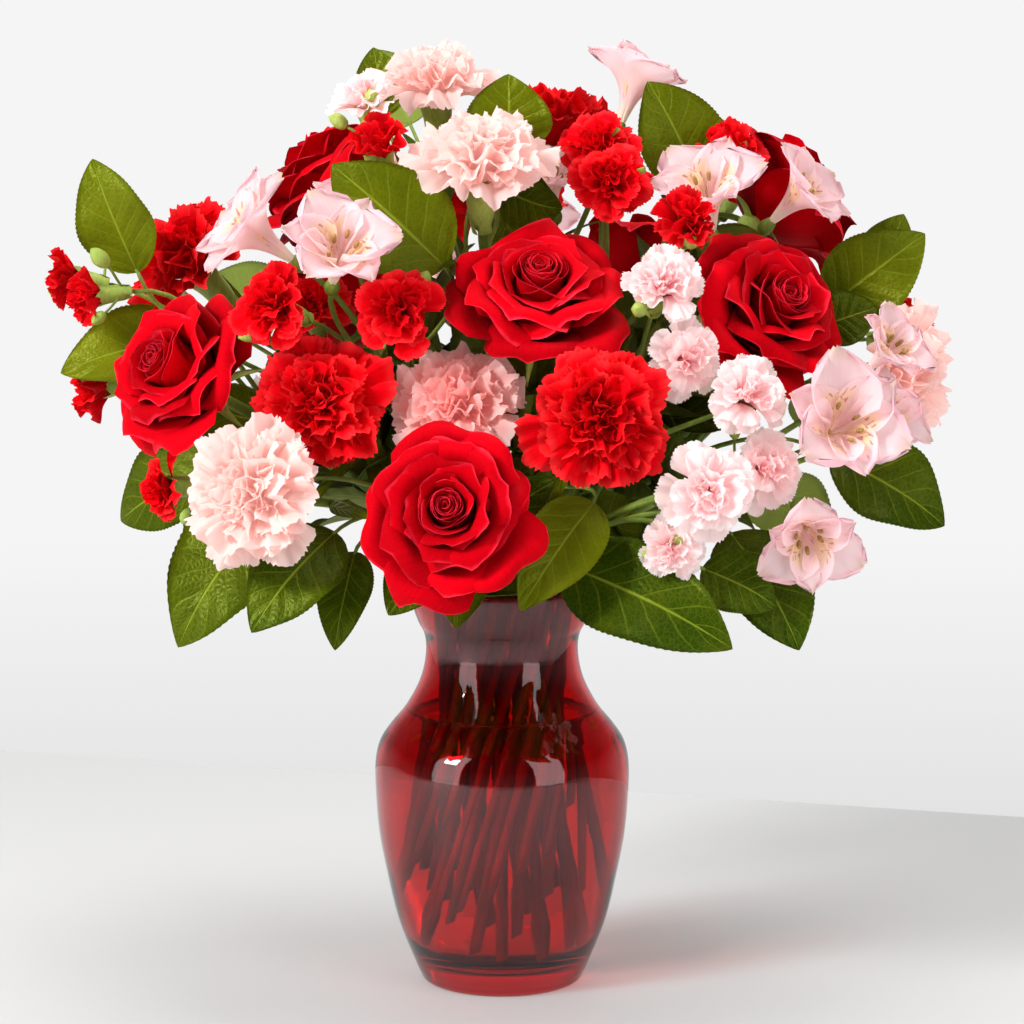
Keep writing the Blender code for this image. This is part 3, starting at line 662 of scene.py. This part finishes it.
hip = [(ROSE_STEM, -13 * MM), (3.6 * MM, -11 * MM), (5.6 * MM, -8 * MM), (6.9 * MM, -5 * MM),
       (7.2 * MM, -2 * MM), (6.4 * MM, 1 * MM), (0.0, 2 * MM)]
for number, name in enumerate(rose_names):
    foot, axis = growth[name]
    rng = np.random.default_rng(140 + number)
    green = Pile()
    green.grid(placed(turned_sheet(hip, 16), foot, axis), shade=0.4, ring=True)
    for k in range(5):
        shape = sepal(rng.uniform(25, 31) * MM, 4.4 * MM, rng.uniform(-5, 15), rng.uniform(-65, -20), rng)
        green.grid(placed(shape, foot, axis, k * math.tau / 5 + rng.uniform(-0.2, 0.2)),
                   shade=rng.uniform(0, 1), thick=0.35 * MM)
    green.piece(f"{name}_calyx", calyx_green, "green_stem")


# ---------------------------------------------------------------------------------
# The carnations: round ruffled blooms, each a mass of fan-shaped petals on narrow claws,
# waved across and toothed along the rim, bursting from a tubular calyx.

def carnation_petal(t, size, rng, ruffle):
    """One fan petal; t is 0 in the middle and 1 at the outside, ruffle the outer folds' depth."""
    cols = 29
    u, v = blank(cols, 10)
    length = lerp(32, 41, t) * size * rng.uniform(0.86, 1.06)
    tooth = np.where(np.arange(cols) % 2, 1.0, 0.0) * rng.uniform(0.0, 1.0, cols) ** 1.5
    s = v * (1 - 0.16 * np.abs(u) ** 2.6) - 0.06 * tooth * np.clip((v - 0.8) / 0.2, 0, 1)
    foot_lift = lerp(90, 66, t)
    claw_lift = lerp(88, 30, t**1.1) + rng.uniform(-5, 5)
    rim_lift = lerp(80, -16, t**0.9) + rng.uniform(-20, 20)
    lift = foot_lift + (claw_lift - foot_lift) * smooth(s / 0.4)
    lift = lift + (rim_lift - claw_lift) * smooth((s - 0.4) / 0.6)
    half = (1.3 + 17.5 * np.clip((s - 0.12) / 0.88, 0, 1) ** 1.15) * size
    r, z, turn = swept_petal(u, s, length, (0.8 + 3.4 * t) * size, np.radians(lift), half,
                             8.5 * size, 1.5)
    p = round_axis(r, turn, z)
    reach = smooth((s - 0.25) / 0.75)[..., None]
    fold = np.sin(u * rng.uniform(3.5, 7.5) + rng.uniform(0, 6.3) + 2.5 * s)
    pleat = np.sin(u * rng.uniform(9, 14) + rng.uniform(0, 6.3) - 3.0 * s)
    crimp = np.sin(u * rng.uniform(19, 24) + rng.uniform(0, 6.3))
    depth = rng.uniform(3.0, 5.6) * fold + 1.9 * pleat * s**2 + 0.5 * crimp * s**5
    return p + sheet_normals(p) * reach * (lerp(1.0, ruffle, t) * depth)[..., None] * size


def carnation(pile, foot, axis, size, count, rng, high=1.0, ruffle=1.0, heart=0.86):
    """A whole bloom of count petals on the golden angle; high limits how open it is.

    The petals in the middle end their tint at heart, so they stay as deep as their feet.
    """
    spin = rng.uniform(0, math.tau)
    for k in range(count):
        t = high * ((k + 0.5) / count)
        shape = carnation_petal(t, size, rng, ruffle)
        tilt = unit(axis + (0.10 + 0.12 * (1 - t)) * rng.normal(size=3))
        pile.grid(placed(shape, foot, tilt, spin + k * GOLDEN + rng.uniform(-0.3, 0.3)),
                  shade=rng.uniform(0, 1), v_span=(0.0, lerp(heart, 1.0, smooth(t * 1.5))))


def carnation_calyx(pile, foot, axis, size, depth, rng):
    """The green tube under a carnation: bracts at its foot, five teeth at its mouth."""
    u, v = np.meshgrid(np.linspace(0, 1, 20, endpoint=False), np.linspace(0, 1, 9))
    tooth = np.abs((u * 5 + 0.5) % 1 - 0.5) * 2
    height = -depth + (depth + 1.0 * size) * v + 5 * size * tooth * smooth((v - 0.6) / 0.4)
    radius = size * np.interp(v, (0, 0.12, 0.35, 0.7, 1), (2.4, 4.6, 5.9, 6.5, 8.6))
    ridge = 1 + 0.035 * np.cos(u * math.tau * 10)
    pile.grid(placed(round_axis(radius * ridge, u * math.tau, height), foot, axis), shade=0.6, ring=True)
    u, v = blank(5, 6)
    bract = round_axis(size * (5.0 + 1.3 * v), u * 0.75 * (1 - v**1.6), -depth + depth * 0.38 * v)
    for k in range(4):
        pile.grid(placed(bract, foot, axis, k * math.tau / 4 + 0.3), shade=rng.uniform(0, 0.4))


def swept_line(start, way_out, end, way_in, steps=14):
    """A smooth line leaving start along way_out and reaching end along way_in."""
    reach = np.linalg.norm(end - start)
    t = np.linspace(0, 1, steps)[:, None]
    return ((2 * t**3 - 3 * t**2 + 1) * start + (t**3 - 2 * t**2 + t) * reach * way_out
            + (3 * t**2 - 2 * t**3) * end + (t**3 - t**2) * reach * way_in)


# On the red carnations the dark foot is painted shade between the petals, the lighter rim is a painted
# highlight, and the faint emission is a painted glow.
carnation_red = petal_finish(
    "carnation_red", (0.42, 0.001, 0.003, 1), (0.79, 0.001, 0.007, 1), (0.90, 0.024, 0.029, 1), glow=0.14,
    through=(1.02, 0.9, 0.9, 1), rough=0.7, sheen=0.06, sheen_tint=(1.0, 0.3, 0.25, 1), foot_end=0.7,
    rim_start=0.84, veins=0.3, variation=0.45, gloss=0.08, painted_glow=0.02)
# The pink and dusty pink petals glow with painted light in their own colour, which lifts the shade in their
# folds.
carnation_pink = petal_finish(
    "carnation_pink", (0.96, 0.64, 0.59, 1), (0.97, 0.73, 0.69, 1), (0.97, 0.76, 0.72, 1), glow=0.44,
    through=(1.0, 0.98, 0.97, 1), rough=0.7, sheen=0.04, foot_end=0.75, rim_start=0.8, veins=0.07,
    variation=0.06, painted_glow=0.14)
carnation_dusty = petal_finish(
    "carnation_dusty_pink", (0.94, 0.42, 0.39, 1), (0.97, 0.54, 0.51, 1), (0.98, 0.68, 0.65, 1), glow=0.42,
    through=(1.0, 0.97, 0.96, 1), rough=0.7, sheen=0.04, foot_end=0.75, rim_start=0.8, veins=0.1,
    variation=0.1, painted_glow=0.09)

CARNATION_FINISH = {"red": (carnation_red, "red_carnation_petals"),
                    "pink": (carnation_pink, "pink_carnation_petals"),
                    "dusty": (carnation_dusty, "dusty_pink_carnation_petals")}
DYED = {1: "red", 2: "red", 4: "dusty", 8: "red", 9: "red", 11: "red"}
CARNATION_PETALS = 52
SMALL_CARNATION = 7
for number, name in enumerate(carnation_names, 1):
    foot, axis = growth[name]
    crowns.append(crown_of(name))
    rng = np.random.default_rng(240 + number)
    finish, slot = CARNATION_FINISH[DYED.get(number, "pink")]
    size = MM * rng.uniform(0.97, 1.04) * (0.88 if number == SMALL_CARNATION else 1.0)
    bloom = Pile()
    carnation(bloom, foot, axis, size, CARNATION_PETALS, rng)
    bloom.piece(f"{name}_petals", finish, slot, f"{name}_bloom")
    green = Pile()
    carnation_calyx(green, foot + axis * 3 * MM, axis, 1.05 * MM, 26 * MM, rng)
    green.piece(f"{name}_calyx", calyx_green, "green_stem")


# ---------------------------------------------------------------------------------
# The spray carnations: branching stems that carry several small blooms, half-open flowers
# and tight green buds, each on its own twig with its own calyx.

def spray_heads(name):
    """Foot, axis and radius of each flower head on a branching solid."""
    points, near = welded(name)
    found = []
    for k, ring in enumerate(near):
        around = points[list(ring)]
        edges = np.linalg.norm(around - points[k], axis=1)
        if len(ring) == 8 and np.ptp(edges) < 0.02 * edges.mean():
            axis = unit(points[k] - around.mean(axis=0))
            radius = edges.mean() / 0.670
            found.append((points[k] - axis * 1.15 * radius, axis, radius))
    return found


def green_bud(pile, foot, axis, length, rng):
    """A closed bud: a smooth green spindle with a pointed, ribbed end."""
    u, v = np.meshgrid(np.linspace(0, 1, 12, endpoint=False), np.linspace(0, 1, 9))
    radius = length * 0.33 * np.interp(v, (0, 0.15, 0.45, 0.8, 1), (0.30, 0.8, 1.0, 0.66, 0.06))
    radius = radius * (1 + 0.05 * np.cos(u * math.tau * 5))
    pile.grid(placed(round_axis(radius, u * math.tau, v * length), foot, axis),
              shade=rng.uniform(0.3, 1), ring=True)


# The spray pink petals glow with painted light in their own colour, which lifts the shade in their folds.
spray_pink = petal_finish(
    "spray_pink", (0.94, 0.26, 0.32, 1), (0.98, 0.79, 0.79, 1), (0.99, 0.88, 0.88, 1), glow=0.44,
    through=(1.0, 0.98, 0.97, 1), rough=0.7, sheen=0.04, foot_end=0.62, rim_start=0.78, veins=0.07,
    variation=0.06, painted_glow=0.14)


class Branching:
    """A branching plant: a slant-cut stem up to its fork, and twigs from there."""

    def __init__(self, name, girth):
        middles = stem_middles(name)
        self.pile = Pile()
        self.line = smooth_line(middles, 8)
        self.fork, self.rise = middles[-1], unit(middles[-1] - middles[-2])
        closed_tube(self.pile, self.line, girth, 10, slant=KNIFE_SLANT)

    def twig(self, end, way_in, thick, thin):
        """A twig that thins from the fork to end, which it reaches along way_in."""
        line = swept_line(self.fork, self.rise, end, way_in)
        closed_tube(self.pile, line, np.linspace(thick, thin, len(line)), 8)


SPRAY_FINISH = {"red": (carnation_red, "red_carnation_petals"),
                "pink": (spray_pink, "pink_carnation_petals")}
HALF_OPEN = 15 * MM
HALF_OPEN_PETALS = 14
SPRAY_PETALS = 30
spray_names = [f"red_spray_{k}" for k in range(1, 5)] + [f"pink_spray_{k}" for k in range(1, 4)]
for number, name in enumerate(spray_names):
    rng = np.random.default_rng(340 + number)
    plant = Branching(name, 1.9 * MM)
    green, bloom = Pile(), Pile()
    for foot, axis, radius in spray_heads(name):
        crowns.append((foot + axis * 0.6 * radius, 0.7 * radius))
        small = radius < HALF_OPEN
        depth = (15 if small else 20) * MM
        neck = foot - axis * (depth + 1 * MM)
        plant.twig(neck, axis, 1.5 * MM, 1.1 * MM)
        if small:
            carnation_calyx(green, foot, axis, radius / 18, depth, rng)
            carnation(bloom, foot - axis * 4 * MM, axis, radius / 20, HALF_OPEN_PETALS, rng, high=0.62)
        else:
            carnation_calyx(green, foot, axis, 0.75 * MM, depth, rng)
            carnation(bloom, foot - axis * 2 * MM, axis, radius / 35.5, SPRAY_PETALS, rng,
                      ruffle=0.55, heart=0.5)
        for _ in range(2):
            way = unit(axis + rng.normal(scale=0.55, size=3))
            spot = neck + way * rng.uniform(16, 26) * MM
            branch = swept_line(neck, axis, spot, way, 6)
            closed_tube(plant.pile, branch, 0.7 * MM, 6)
            green_bud(green, spot, way, rng.uniform(9, 14) * MM, rng)
    finish, slot = SPRAY_FINISH[name.split("_")[0]]
    plant.pile.piece(f"{name}_stalk", stem_green, "green_stem", name)
    green.piece(f"{name}_calyxes", calyx_green, "green_stem")
    bloom.piece(f"{name}_petals", finish, slot)


# ---------------------------------------------------------------------------------
# The alstroemerias: pale lilac-pink funnels of six tepals, the inner ones narrower, with
# a cream and yellow patch and maroon dashes, round six curved stamens.

def lily_heads(name):
    """Foot, axis and mouth radius of each funnel on a branching solid."""
    points, near = welded(name)
    found = []
    for k, ring in enumerate(near):
        around = points[list(ring)]
        edges = np.linalg.norm(around - points[k], axis=1)
        if len(ring) == 6 and np.ptp(edges) < 0.02 * edges.mean():
            axis = unit(around.mean(axis=0) - points[k])
            radius = edges.mean() / 0.564
            if radius > 12 * MM:
                found.append((points[k] - axis * 0.66 * 1.45 * radius, axis, radius))
    return found


def tepal(radius, inner, rng):
    """One tepal standing on +X; inner ones are narrower and spoon-shaped."""
    cols = 17
    u, v = blank(cols, 16)
    length = radius * (1.92 if inner else 2.02) * rng.uniform(0.96, 1.04)
    nick = rng.uniform(0, 1, cols) * np.where(np.arange(cols) % 2, 0.05, 0.0)
    s = v * (1 - 0.07 * np.abs(u) ** 3) - nick * np.clip((v - 0.75) / 0.25, 0, 1)
    open_lift = rng.uniform(20, 40) + (8 if inner else 0)
    lift = np.radians(lerp(80, open_lift, smooth((s - 0.15) / 0.7)) - 26 * smooth((s - 0.75) / 0.3))
    if inner:
        share = np.interp(v, (0, 0.3, 0.62, 0.82, 0.95, 1), (0.10, 0.15, 0.36, 0.37, 0.22, 0.04))
    else:
        share = np.interp(v, (0, 0.3, 0.62, 0.82, 0.94, 1), (0.10, 0.24, 0.50, 0.55, 0.42, 0.12))
    half = share * length
    r, z, turn = swept_petal(u, s, length, 0.09 * radius, lift, half, 0.30 * radius, 1.4)
    cup = 0.20 * half * u**2
    wave = 0.05 * radius * np.sin(rng.uniform(5, 8) * u + rng.uniform(0, 6)) * v**2
    return round_axis(r - cup, turn, z + cup * 0.5 + wave)


def tepal_marks():
    """Group: a rosy rib and a greenish tip, then a yellow patch and maroon dashes."""
    group, given, taken = new_group(
        "tepal_marks", (("Tint", "Color"), ("Dashes", "Float")), (("Color", "Color"),))
    uv = along_uv(group)
    across = math_node(group, "FRACT", uv["X"])
    middle = math_node(group, "ABSOLUTE", math_node(group, "SUBTRACT", across, 0.5))
    tip = ramp(group, uv["Y"], 0.86, 1.0, 0.0, 0.75)
    green = times(group, tip, ramp(group, middle, 0.05, 0.2, 1.0, 0.0))
    colour = blend_colour(group, green, given["Tint"], (0.42, 0.50, 0.18, 1))
    rib = ramp(group, middle, 0.0, 0.10, 0.3, 0.0)
    colour = blend_colour(group, rib, colour, (0.90, 0.50, 0.58, 1))

    def zone(start, full, high, end):
        """Where dashed tepals are marked along their length."""
        rise = ramp(group, uv["Y"], start, full, 0.0, given["Dashes"])
        return times(group, rise, ramp(group, uv["Y"], high, end, 1.0, 0.0))

    patch = times(group, zone(0.30, 0.42, 0.66, 0.78), 0.75)
    colour = blend_colour(group, patch, colour, (0.92, 0.74, 0.22, 1))
    spots = node(group, "ShaderNodeCombineXYZ", X=times(group, uv["X"], 22.0), Y=times(group, uv["Y"], 11.0))
    mark = ramp(group, noise(group, spots.outputs[0], 1.0, 0.0), 0.65, 0.69)
    dash = times(group, mark, zone(0.22, 0.3, 0.80, 0.88))
    feed(group, taken, Color=blend_colour(group, dash, colour, (0.36, 0.07, 0.06, 1)))
    return group


marks_group = tepal_marks()


def lily_finish(name, dashes):
    """Pale lilac-pink tepal, cream low down, glowing faintly with painted light that lifts the shade in the
    funnel; dashes is 1 for the marked inner ones, else 0.
    """
    made = petal_finish(name, (0.98, 0.91, 0.78, 1), (0.97, 0.75, 0.77, 1), (0.97, 0.64, 0.70, 1), glow=0.46,
                        through=(1.0, 0.98, 0.98, 1), rough=0.5, sheen=0.03, foot_end=0.42, rim_start=0.8,
                        veins=0.16, variation=0.06, painted_glow=0.09)
    tree = made.node_tree
    shader = tree.nodes["Principled BSDF"]
    tint = shader.inputs["Base Color"].links[0].from_socket
    marks = placed_group(tree, marks_group, Tint=tint, Dashes=dashes)
    feed(tree, shader, Base_Color=marks["Color"])
    return made


lily_outer = lily_finish("alstroemeria_outer", 0.0)
lily_inner = lily_finish("alstroemeria_inner", 1.0)
pollen, tree, shader, _ = fresh_material("pollen")
grains = noise(tree, own_place(tree), 900.0, 1.0)
dust = blend_colour(tree, grains, (0.22, 0.10, 0.02, 1), (0.55, 0.36, 0.10, 1))
feed(tree, shader, Base_Color=dust, Roughness=0.85)

ovary = [(1.3 * MM, -9.5 * MM), (3.4 * MM, -7 * MM), (3.9 * MM, -4 * MM), (2.6 * MM, 0), (0, 1 * MM)]
lily_names = [f"alstroemeria_{k}" for k in range(1, 5)]
for number, name in enumerate(lily_names):
    rng = np.random.default_rng(440 + number)
    plant = Branching(name, 2.3 * MM)
    outside, inside, tips = Pile(), Pile(), Pile()
    for foot, axis, radius in lily_heads(name):
        crowns.append((foot + axis * radius, 0.7 * radius))
        plant.twig(foot - axis * 9 * MM, axis, 1.8 * MM, 1.3 * MM)
        plant.pile.grid(placed(turned_sheet(ovary, 12), foot, axis), shade=0.8, ring=True)
        spin = rng.uniform(0, math.tau)
        for k in range(3):
            turn = spin + k * math.tau / 3
            outside.grid(placed(tepal(radius, False, rng), foot, axis, turn + rng.uniform(-0.1, 0.1)),
                         shade=rng.uniform(0, 1))
            inside.grid(placed(tepal(radius, True, rng) * 0.99, foot, axis, turn + math.pi / 3),
                        shade=rng.uniform(0, 1))
        for k in range(6):
            turn = spin + k * math.tau / 6 + rng.uniform(-0.3, 0.3)
            u, v = side_axes(axis)
            lean = unit(axis + 0.28 * (u * math.cos(turn) + v * math.sin(turn)))
            end = foot + lean * radius * rng.uniform(1.0, 1.2)
            wire = swept_line(foot + axis * 4 * MM, axis, end, unit(lean + 0.4 * (lean - axis)), 8)
            closed_tube(inside, wire, 0.45 * MM, 5)
            anther = [end + lean * reach * MM for reach in (-2.4, -1.0, 1.0, 2.4)]
            closed_tube(tips, anther, np.array([0.7, 1.1, 1.1, 0.7]) * MM, 7)
    plant.pile.piece(f"{name}_stalk", stem_green, "green_stem", name)
    outside.piece(f"{name}_outer_tepals", lily_outer, "alstroemeria_petals")
    inside.piece(f"{name}_inner_tepals", lily_inner, "alstroemeria_petals")
    tips.piece(f"{name}_anthers", pollen, "alstroemeria_petals")


# ---------------------------------------------------------------------------------
# The foliage: salal branches with broad, leathery, finely toothed leaves, glossy dark
# green above and paler below, a raised midrib and side veins curving to the tip.

def blades(name):
    """Foot, way, upper side, length and width of each leaf on a branching solid."""
    points, near = welded(name)
    hubs = [k for k, ring in enumerate(near) if len(ring) >= 10]
    found = []
    for number, a in enumerate(hubs):
        for b in hubs[number + 1:]:
            gap = points[b] - points[a]
            if abs(np.linalg.norm(gap) - 1.8 * MM) > 0.05 * MM:
                continue
            rim = points[list(near[a] & near[b])]
            upper = unit(gap)
            if np.dot(points[a] - rim.mean(axis=0), upper) < 0:
                upper = -upper
            middle = min(points[a], points[b], key=lambda p: np.dot(p, upper))
            tip = rim[np.argmax(np.linalg.norm(rim - middle, axis=1))]
            length = np.linalg.norm(tip - middle) / 0.583
            way = unit(tip - middle + 0.0585 * length * upper)
            foot = middle - way * 0.42 * length - upper * 0.24 * length * 0.42 * 0.58
            off = np.linalg.norm(np.cross(rim - middle, way), axis=1)
            found.append((foot, way, upper, length, 2 * off.max()))
    return found


def leaf_sheet(foot, way, upper, length, width, rng, rows=57, cols=11):
    """A leaf: arched, folded a little along the midrib, waved and toothed at its edge."""
    u, v = blank(cols, rows)
    outline = v**0.60 * (1 - v) ** 0.86
    half = width / 2 * outline / outline.max()
    tooth = np.where(np.arange(rows) % 2, 0.024, 0.0)[:, None] * np.abs(u) ** 6
    side = unit(np.cross(way, upper))
    across = u * half * (1 + tooth)
    rise = 0.24 * length * v * (1 - v) + np.abs(across) * rng.uniform(0.10, 0.22)
    phase = rng.uniform(0, 6.3, 2)
    wave = np.sin(v * rng.uniform(8, 13) + np.where(u < 0, phase[0], phase[1]))
    rise = rise + wave * 0.09 * half * np.abs(u) ** 1.5
    droop = rng.uniform(0.02, 0.08) * length * np.clip((v - 0.55) / 0.45, 0, 1) ** 2
    bend = rng.uniform(-0.04, 0.04) * length * v**2
    return (foot + way * (v * length)[..., None] + side * (across + bend)[..., None]
            + upper * (rise - droop)[..., None])


def leaf_finish(name, dark, light, vein, gloss):
    """Leathery leaf green with a pale midrib, curved side veins and a fine net between."""
    made, tree, shader, out = fresh_material(name)
    uv = along_uv(tree)
    back = math_node(tree, "GREATER_THAN", uv["X"], 1.0)
    across = math_node(tree, "SUBTRACT", uv["X"], back)
    off = math_node(tree, "ABSOLUTE", math_node(tree, "MULTIPLY_ADD", across, 2.0, -1.0))
    place = own_place(tree)
    drift = noise(tree, place, 45.0, 3.0)
    own = own_shade(tree)
    forward = math_node(tree, "MULTIPLY_ADD", math_node(tree, "POWER", off, 0.8), -1.7,
                        times(tree, uv["Y"], 6.6))
    stray = math_node(tree, "MULTIPLY_ADD", drift, 0.5, times(tree, own, 3.0))
    sweep = math_node(tree, "ADD", forward, stray)
    line = math_node(tree, "ABSOLUTE", math_node(tree, "SUBTRACT", math_node(tree, "FRACT", sweep), 0.5))
    side = ramp(tree, line, 0.0, 0.065, 1.0, 0.0)
    fade = ramp(tree, off, 0.5, 0.95, 1.0, 0.25)
    side = times(tree, side, fade)
    rib = ramp(tree, off, 0.01, 0.045, 1.0, 0.0)
    veins = math_node(tree, "MAXIMUM", times(tree, side, 0.34), times(tree, rib, 0.8))
    net = node(tree, "ShaderNodeTexVoronoi", Vector=place, Scale=360.0)
    net.feature = "DISTANCE_TO_EDGE"
    thread = ramp(tree, net.outputs["Distance"], 0.0, 0.10, 1.0, 0.0)
    amount = math_node(tree, "MULTIPLY_ADD", own, 0.75,
                       math_node(tree, "MULTIPLY_ADD", drift, 0.6, -0.3), clamp=True)
    colour = blend_colour(tree, amount, dark, light)
    colour = blend_colour(tree, times(tree, thread, 0.12), colour, vein)
    colour = blend_colour(tree, veins, colour, vein)
    under = blend_colour(tree, 0.55, colour, (0.26, 0.33, 0.07, 1))
    colour = blend_colour(tree, back, colour, under)
    rough = math_node(tree, "MULTIPLY_ADD", drift, 0.14, gloss)
    rough = math_node(tree, "MULTIPLY_ADD", back, 0.22, rough)
    feed(tree, shader, Base_Color=colour, Roughness=rough, Specular_IOR_Level=0.30,
         Specular_Tint=(0.85, 1.0, 0.15, 1.0))
    pucker = times(tree, net.outputs["Distance"], 0.5)
    swell = math_node(tree, "MULTIPLY_ADD", line, 0.9, pucker)
    height = math_node(tree, "MULTIPLY_ADD", veins, -0.5, swell)
    relief(tree, shader, height, 0.6, 0.0011)
    lit_through(tree, shader, out, colour, (1.9, 1.7, 0.3, 1), 0.14)
    return made


leaf_green = leaf_finish("leaf_green", (0.022, 0.050, 0.001, 1), (0.170, 0.185, 0.002, 1),
                         (0.24, 0.31, 0.02, 1), gloss=0.30)
CLEAR_OF_LIP = 14 * MM


def is_clear(sheet):
    """True if a leaf runs through no bloom."""
    points = sheet.reshape(-1, 3)
    return all(np.linalg.norm(points - middle, axis=1).min() > radius for middle, radius in crowns)


def leaf_pair(pile, line, below, length, width, rng, turns):
    """Leaves round a stem, below being the distance under its top; none near the lip.

    A leaf that would run through a bloom is tried smaller, then left out.
    """
    along = way_along(line[::-1])
    place = np.array([np.interp(below, along, line[::-1, k]) for k in range(3)])
    if place[2] < LIP + CLEAR_OF_LIP:
        return
    up = unit(line[-1] - place)
    u, v = side_axes(up)
    for turn in turns:
        out = u * math.cos(turn) + v * math.sin(turn)
        way = unit(out + up * rng.uniform(0.5, 0.9))
        upper = unit(up - way * np.dot(up, way))
        reach, shade = length * rng.uniform(0.85, 1.15), rng.uniform(0, 0.7)
        for share in (1.0, 0.72, 0.5):
            sheet = leaf_sheet(place, way, upper, reach * share, width * share, rng, 33, 9)
            if is_clear(sheet):
                pile.grid(sheet, shade=shade, thick=0.4 * MM)
                break


for number, name in enumerate(rose_names + carnation_names):
    rng = np.random.default_rng(640 + number)
    leaves = Pile()
    if name in rose_names:
        for below in (42 * MM, 74 * MM):
            first = rng.uniform(0, math.tau)
            leaf_pair(leaves, stem_lines[name], below, 52 * MM, 32 * MM, rng,
                      (first, first + 2.1, first + 4.2))
    else:
        first = rng.uniform(0, math.tau)
        leaf_pair(leaves, stem_lines[name], 52 * MM, 58 * MM, 7 * MM, rng, (first, first + math.pi))
    if leaves.count:
        leaves.piece(f"{name}_leaves", leaf_green, "green_leaf")

# Range of the shade value for a branch's leaves: 0 gives the darkest leaf colour and 1 the lightest.
MIXED_TONES = (0.1, 0.85)
BRANCH_TONES = {"leaf_branch_1": (0.55, 1.0), "leaf_branch_5": (0.0, 0.1)}
branch_names = [f"leaf_branch_{k}" for k in range(1, 9)]
for number, name in enumerate(branch_names):
    rng = np.random.default_rng(540 + number)
    plant = Branching(name, 1.9 * MM)
    leaves = Pile()
    for foot, way, upper, length, width in blades(name):
        plant.twig(foot + way * 2 * MM, way, 1.5 * MM, 0.9 * MM)
        leaves.grid(leaf_sheet(foot, way, upper, length, width, rng),
                    shade=rng.uniform(*BRANCH_TONES.get(name, MIXED_TONES)), thick=0.45 * MM)
    for below in (2 * MM, 24 * MM, 46 * MM):
        first = rng.uniform(0, math.tau)
        leaf_pair(leaves, plant.line, below, 62 * MM, 38 * MM, rng, (first, first + 2.1, first + 4.2))
    plant.pile.piece(f"{name}_stalk", stem_green, "green_stem")
    leaves.piece(f"{name}_leaves", leaf_green, "green_leaf", name)


# ---------------------------------------------------------------------------------
# The stage: a pale floor that fades to a haze far off, a small key light high on the front
# left, a broad one above, and a tall soft box on each side, which the vase mirrors.

def aimed(name, data, place, target):
    """Stand a camera or a light at place, looking at target."""
    item = bpy.data.objects.new(name, data)
    item.location = place
    item.rotation_euler = (Vector(target) - Vector(place)).to_track_quat("-Z", "Y").to_euler()
    bpy.context.scene.collection.objects.link(item)
    return item


camera = bpy.data.cameras.new("view")
camera.lens = 128.4
camera.sensor_width = 36.0
bpy.context.scene.camera = aimed("view", camera, (0.005, -1.80, 0.50), (0.005, 0.0, 0.238))
bpy.context.scene.view_settings.view_transform = "Standard"

floor_mesh = bpy.data.meshes.new("floor")
floor_mesh.from_pydata([(-6, -6, 0), (6, -6, 0), (6, -1.35, 0), (-6, 2.25, 0)], [], [(0, 1, 2, 3)])
floor = bpy.data.objects.new("floor", floor_mesh)
bpy.context.scene.collection.objects.link(floor)
pale, tree, shader, out = fresh_material("pale_floor")
feed(tree, shader, Base_Color=(0.60, 0.60, 0.597, 1.0), Roughness=0.6)
away = node(tree, "ShaderNodeVectorMath", i0=own_place(tree))
away.operation = "LENGTH"
far = ramp(tree, away.outputs["Value"], 1.2, 2.6)
far = times(tree, far, node(tree, "ShaderNodeLightPath").outputs["Is Camera Ray"])
haze = node(tree, "ShaderNodeEmission", Color=(0.80, 0.80, 0.80, 1.0))
mixed(tree, out, far, shader, haze)
floor_mesh.materials.append(pale)

world = bpy.data.worlds.new("studio")
world.use_nodes = True
tree = world.node_tree
toward = node(tree, "ShaderNodeSeparateXYZ", Vector=node(tree, "ShaderNodeTexCoord").outputs["Generated"])
behind = ramp(tree, toward.outputs["Y"], 0.25, 0.85, 0.31, 1.10)
rays = node(tree, "ShaderNodeLightPath").outputs
mirrored = math_node(tree, "SUBTRACT", rays["Is Glossy Ray"], rays["Is Transmission Ray"], clamp=True)
above = ramp(tree, toward.outputs["Z"], 0.0, 0.3, 0.5, 0.88)
dimmed = math_node(tree, "SUBTRACT", 1.0, times(tree, mirrored, above))
level = times(tree, behind, dimmed)
sky = ramp(tree, toward.outputs["Z"], -0.235, -0.150, 0.745, 0.913)
level = blend_colour(tree, rays["Is Camera Ray"], level, sky)
feed(tree, tree.nodes["Background"], Color=level)
bpy.context.scene.world = world


def soft_box(name, place, target, width, height, power):
    """A rectangular studio light aimed at a point."""
    light = bpy.data.lights.new(name, "AREA")
    light.shape = "RECTANGLE"
    light.size = width
    light.size_y = height
    light.energy = power
    aimed(name, light, place, target)


soft_box("key", (-1.9, -1.5, 1.75), (0, 0, 0.25), 0.6, 0.6, 68)
soft_box("top", (0.2, 0.1, 2.2), (0, 0, 0.3), 1.4, 1.4, 27)
soft_box("strip_left", (-1.18, -0.95, 0.80), (0, 0, 0.35), 0.8, 1.6, 11)
soft_box("strip_right", (1.05, -1.10, 0.80), (0, 0, 0.35), 0.8, 1.6, 10)

bpy.context.view_layer.update()
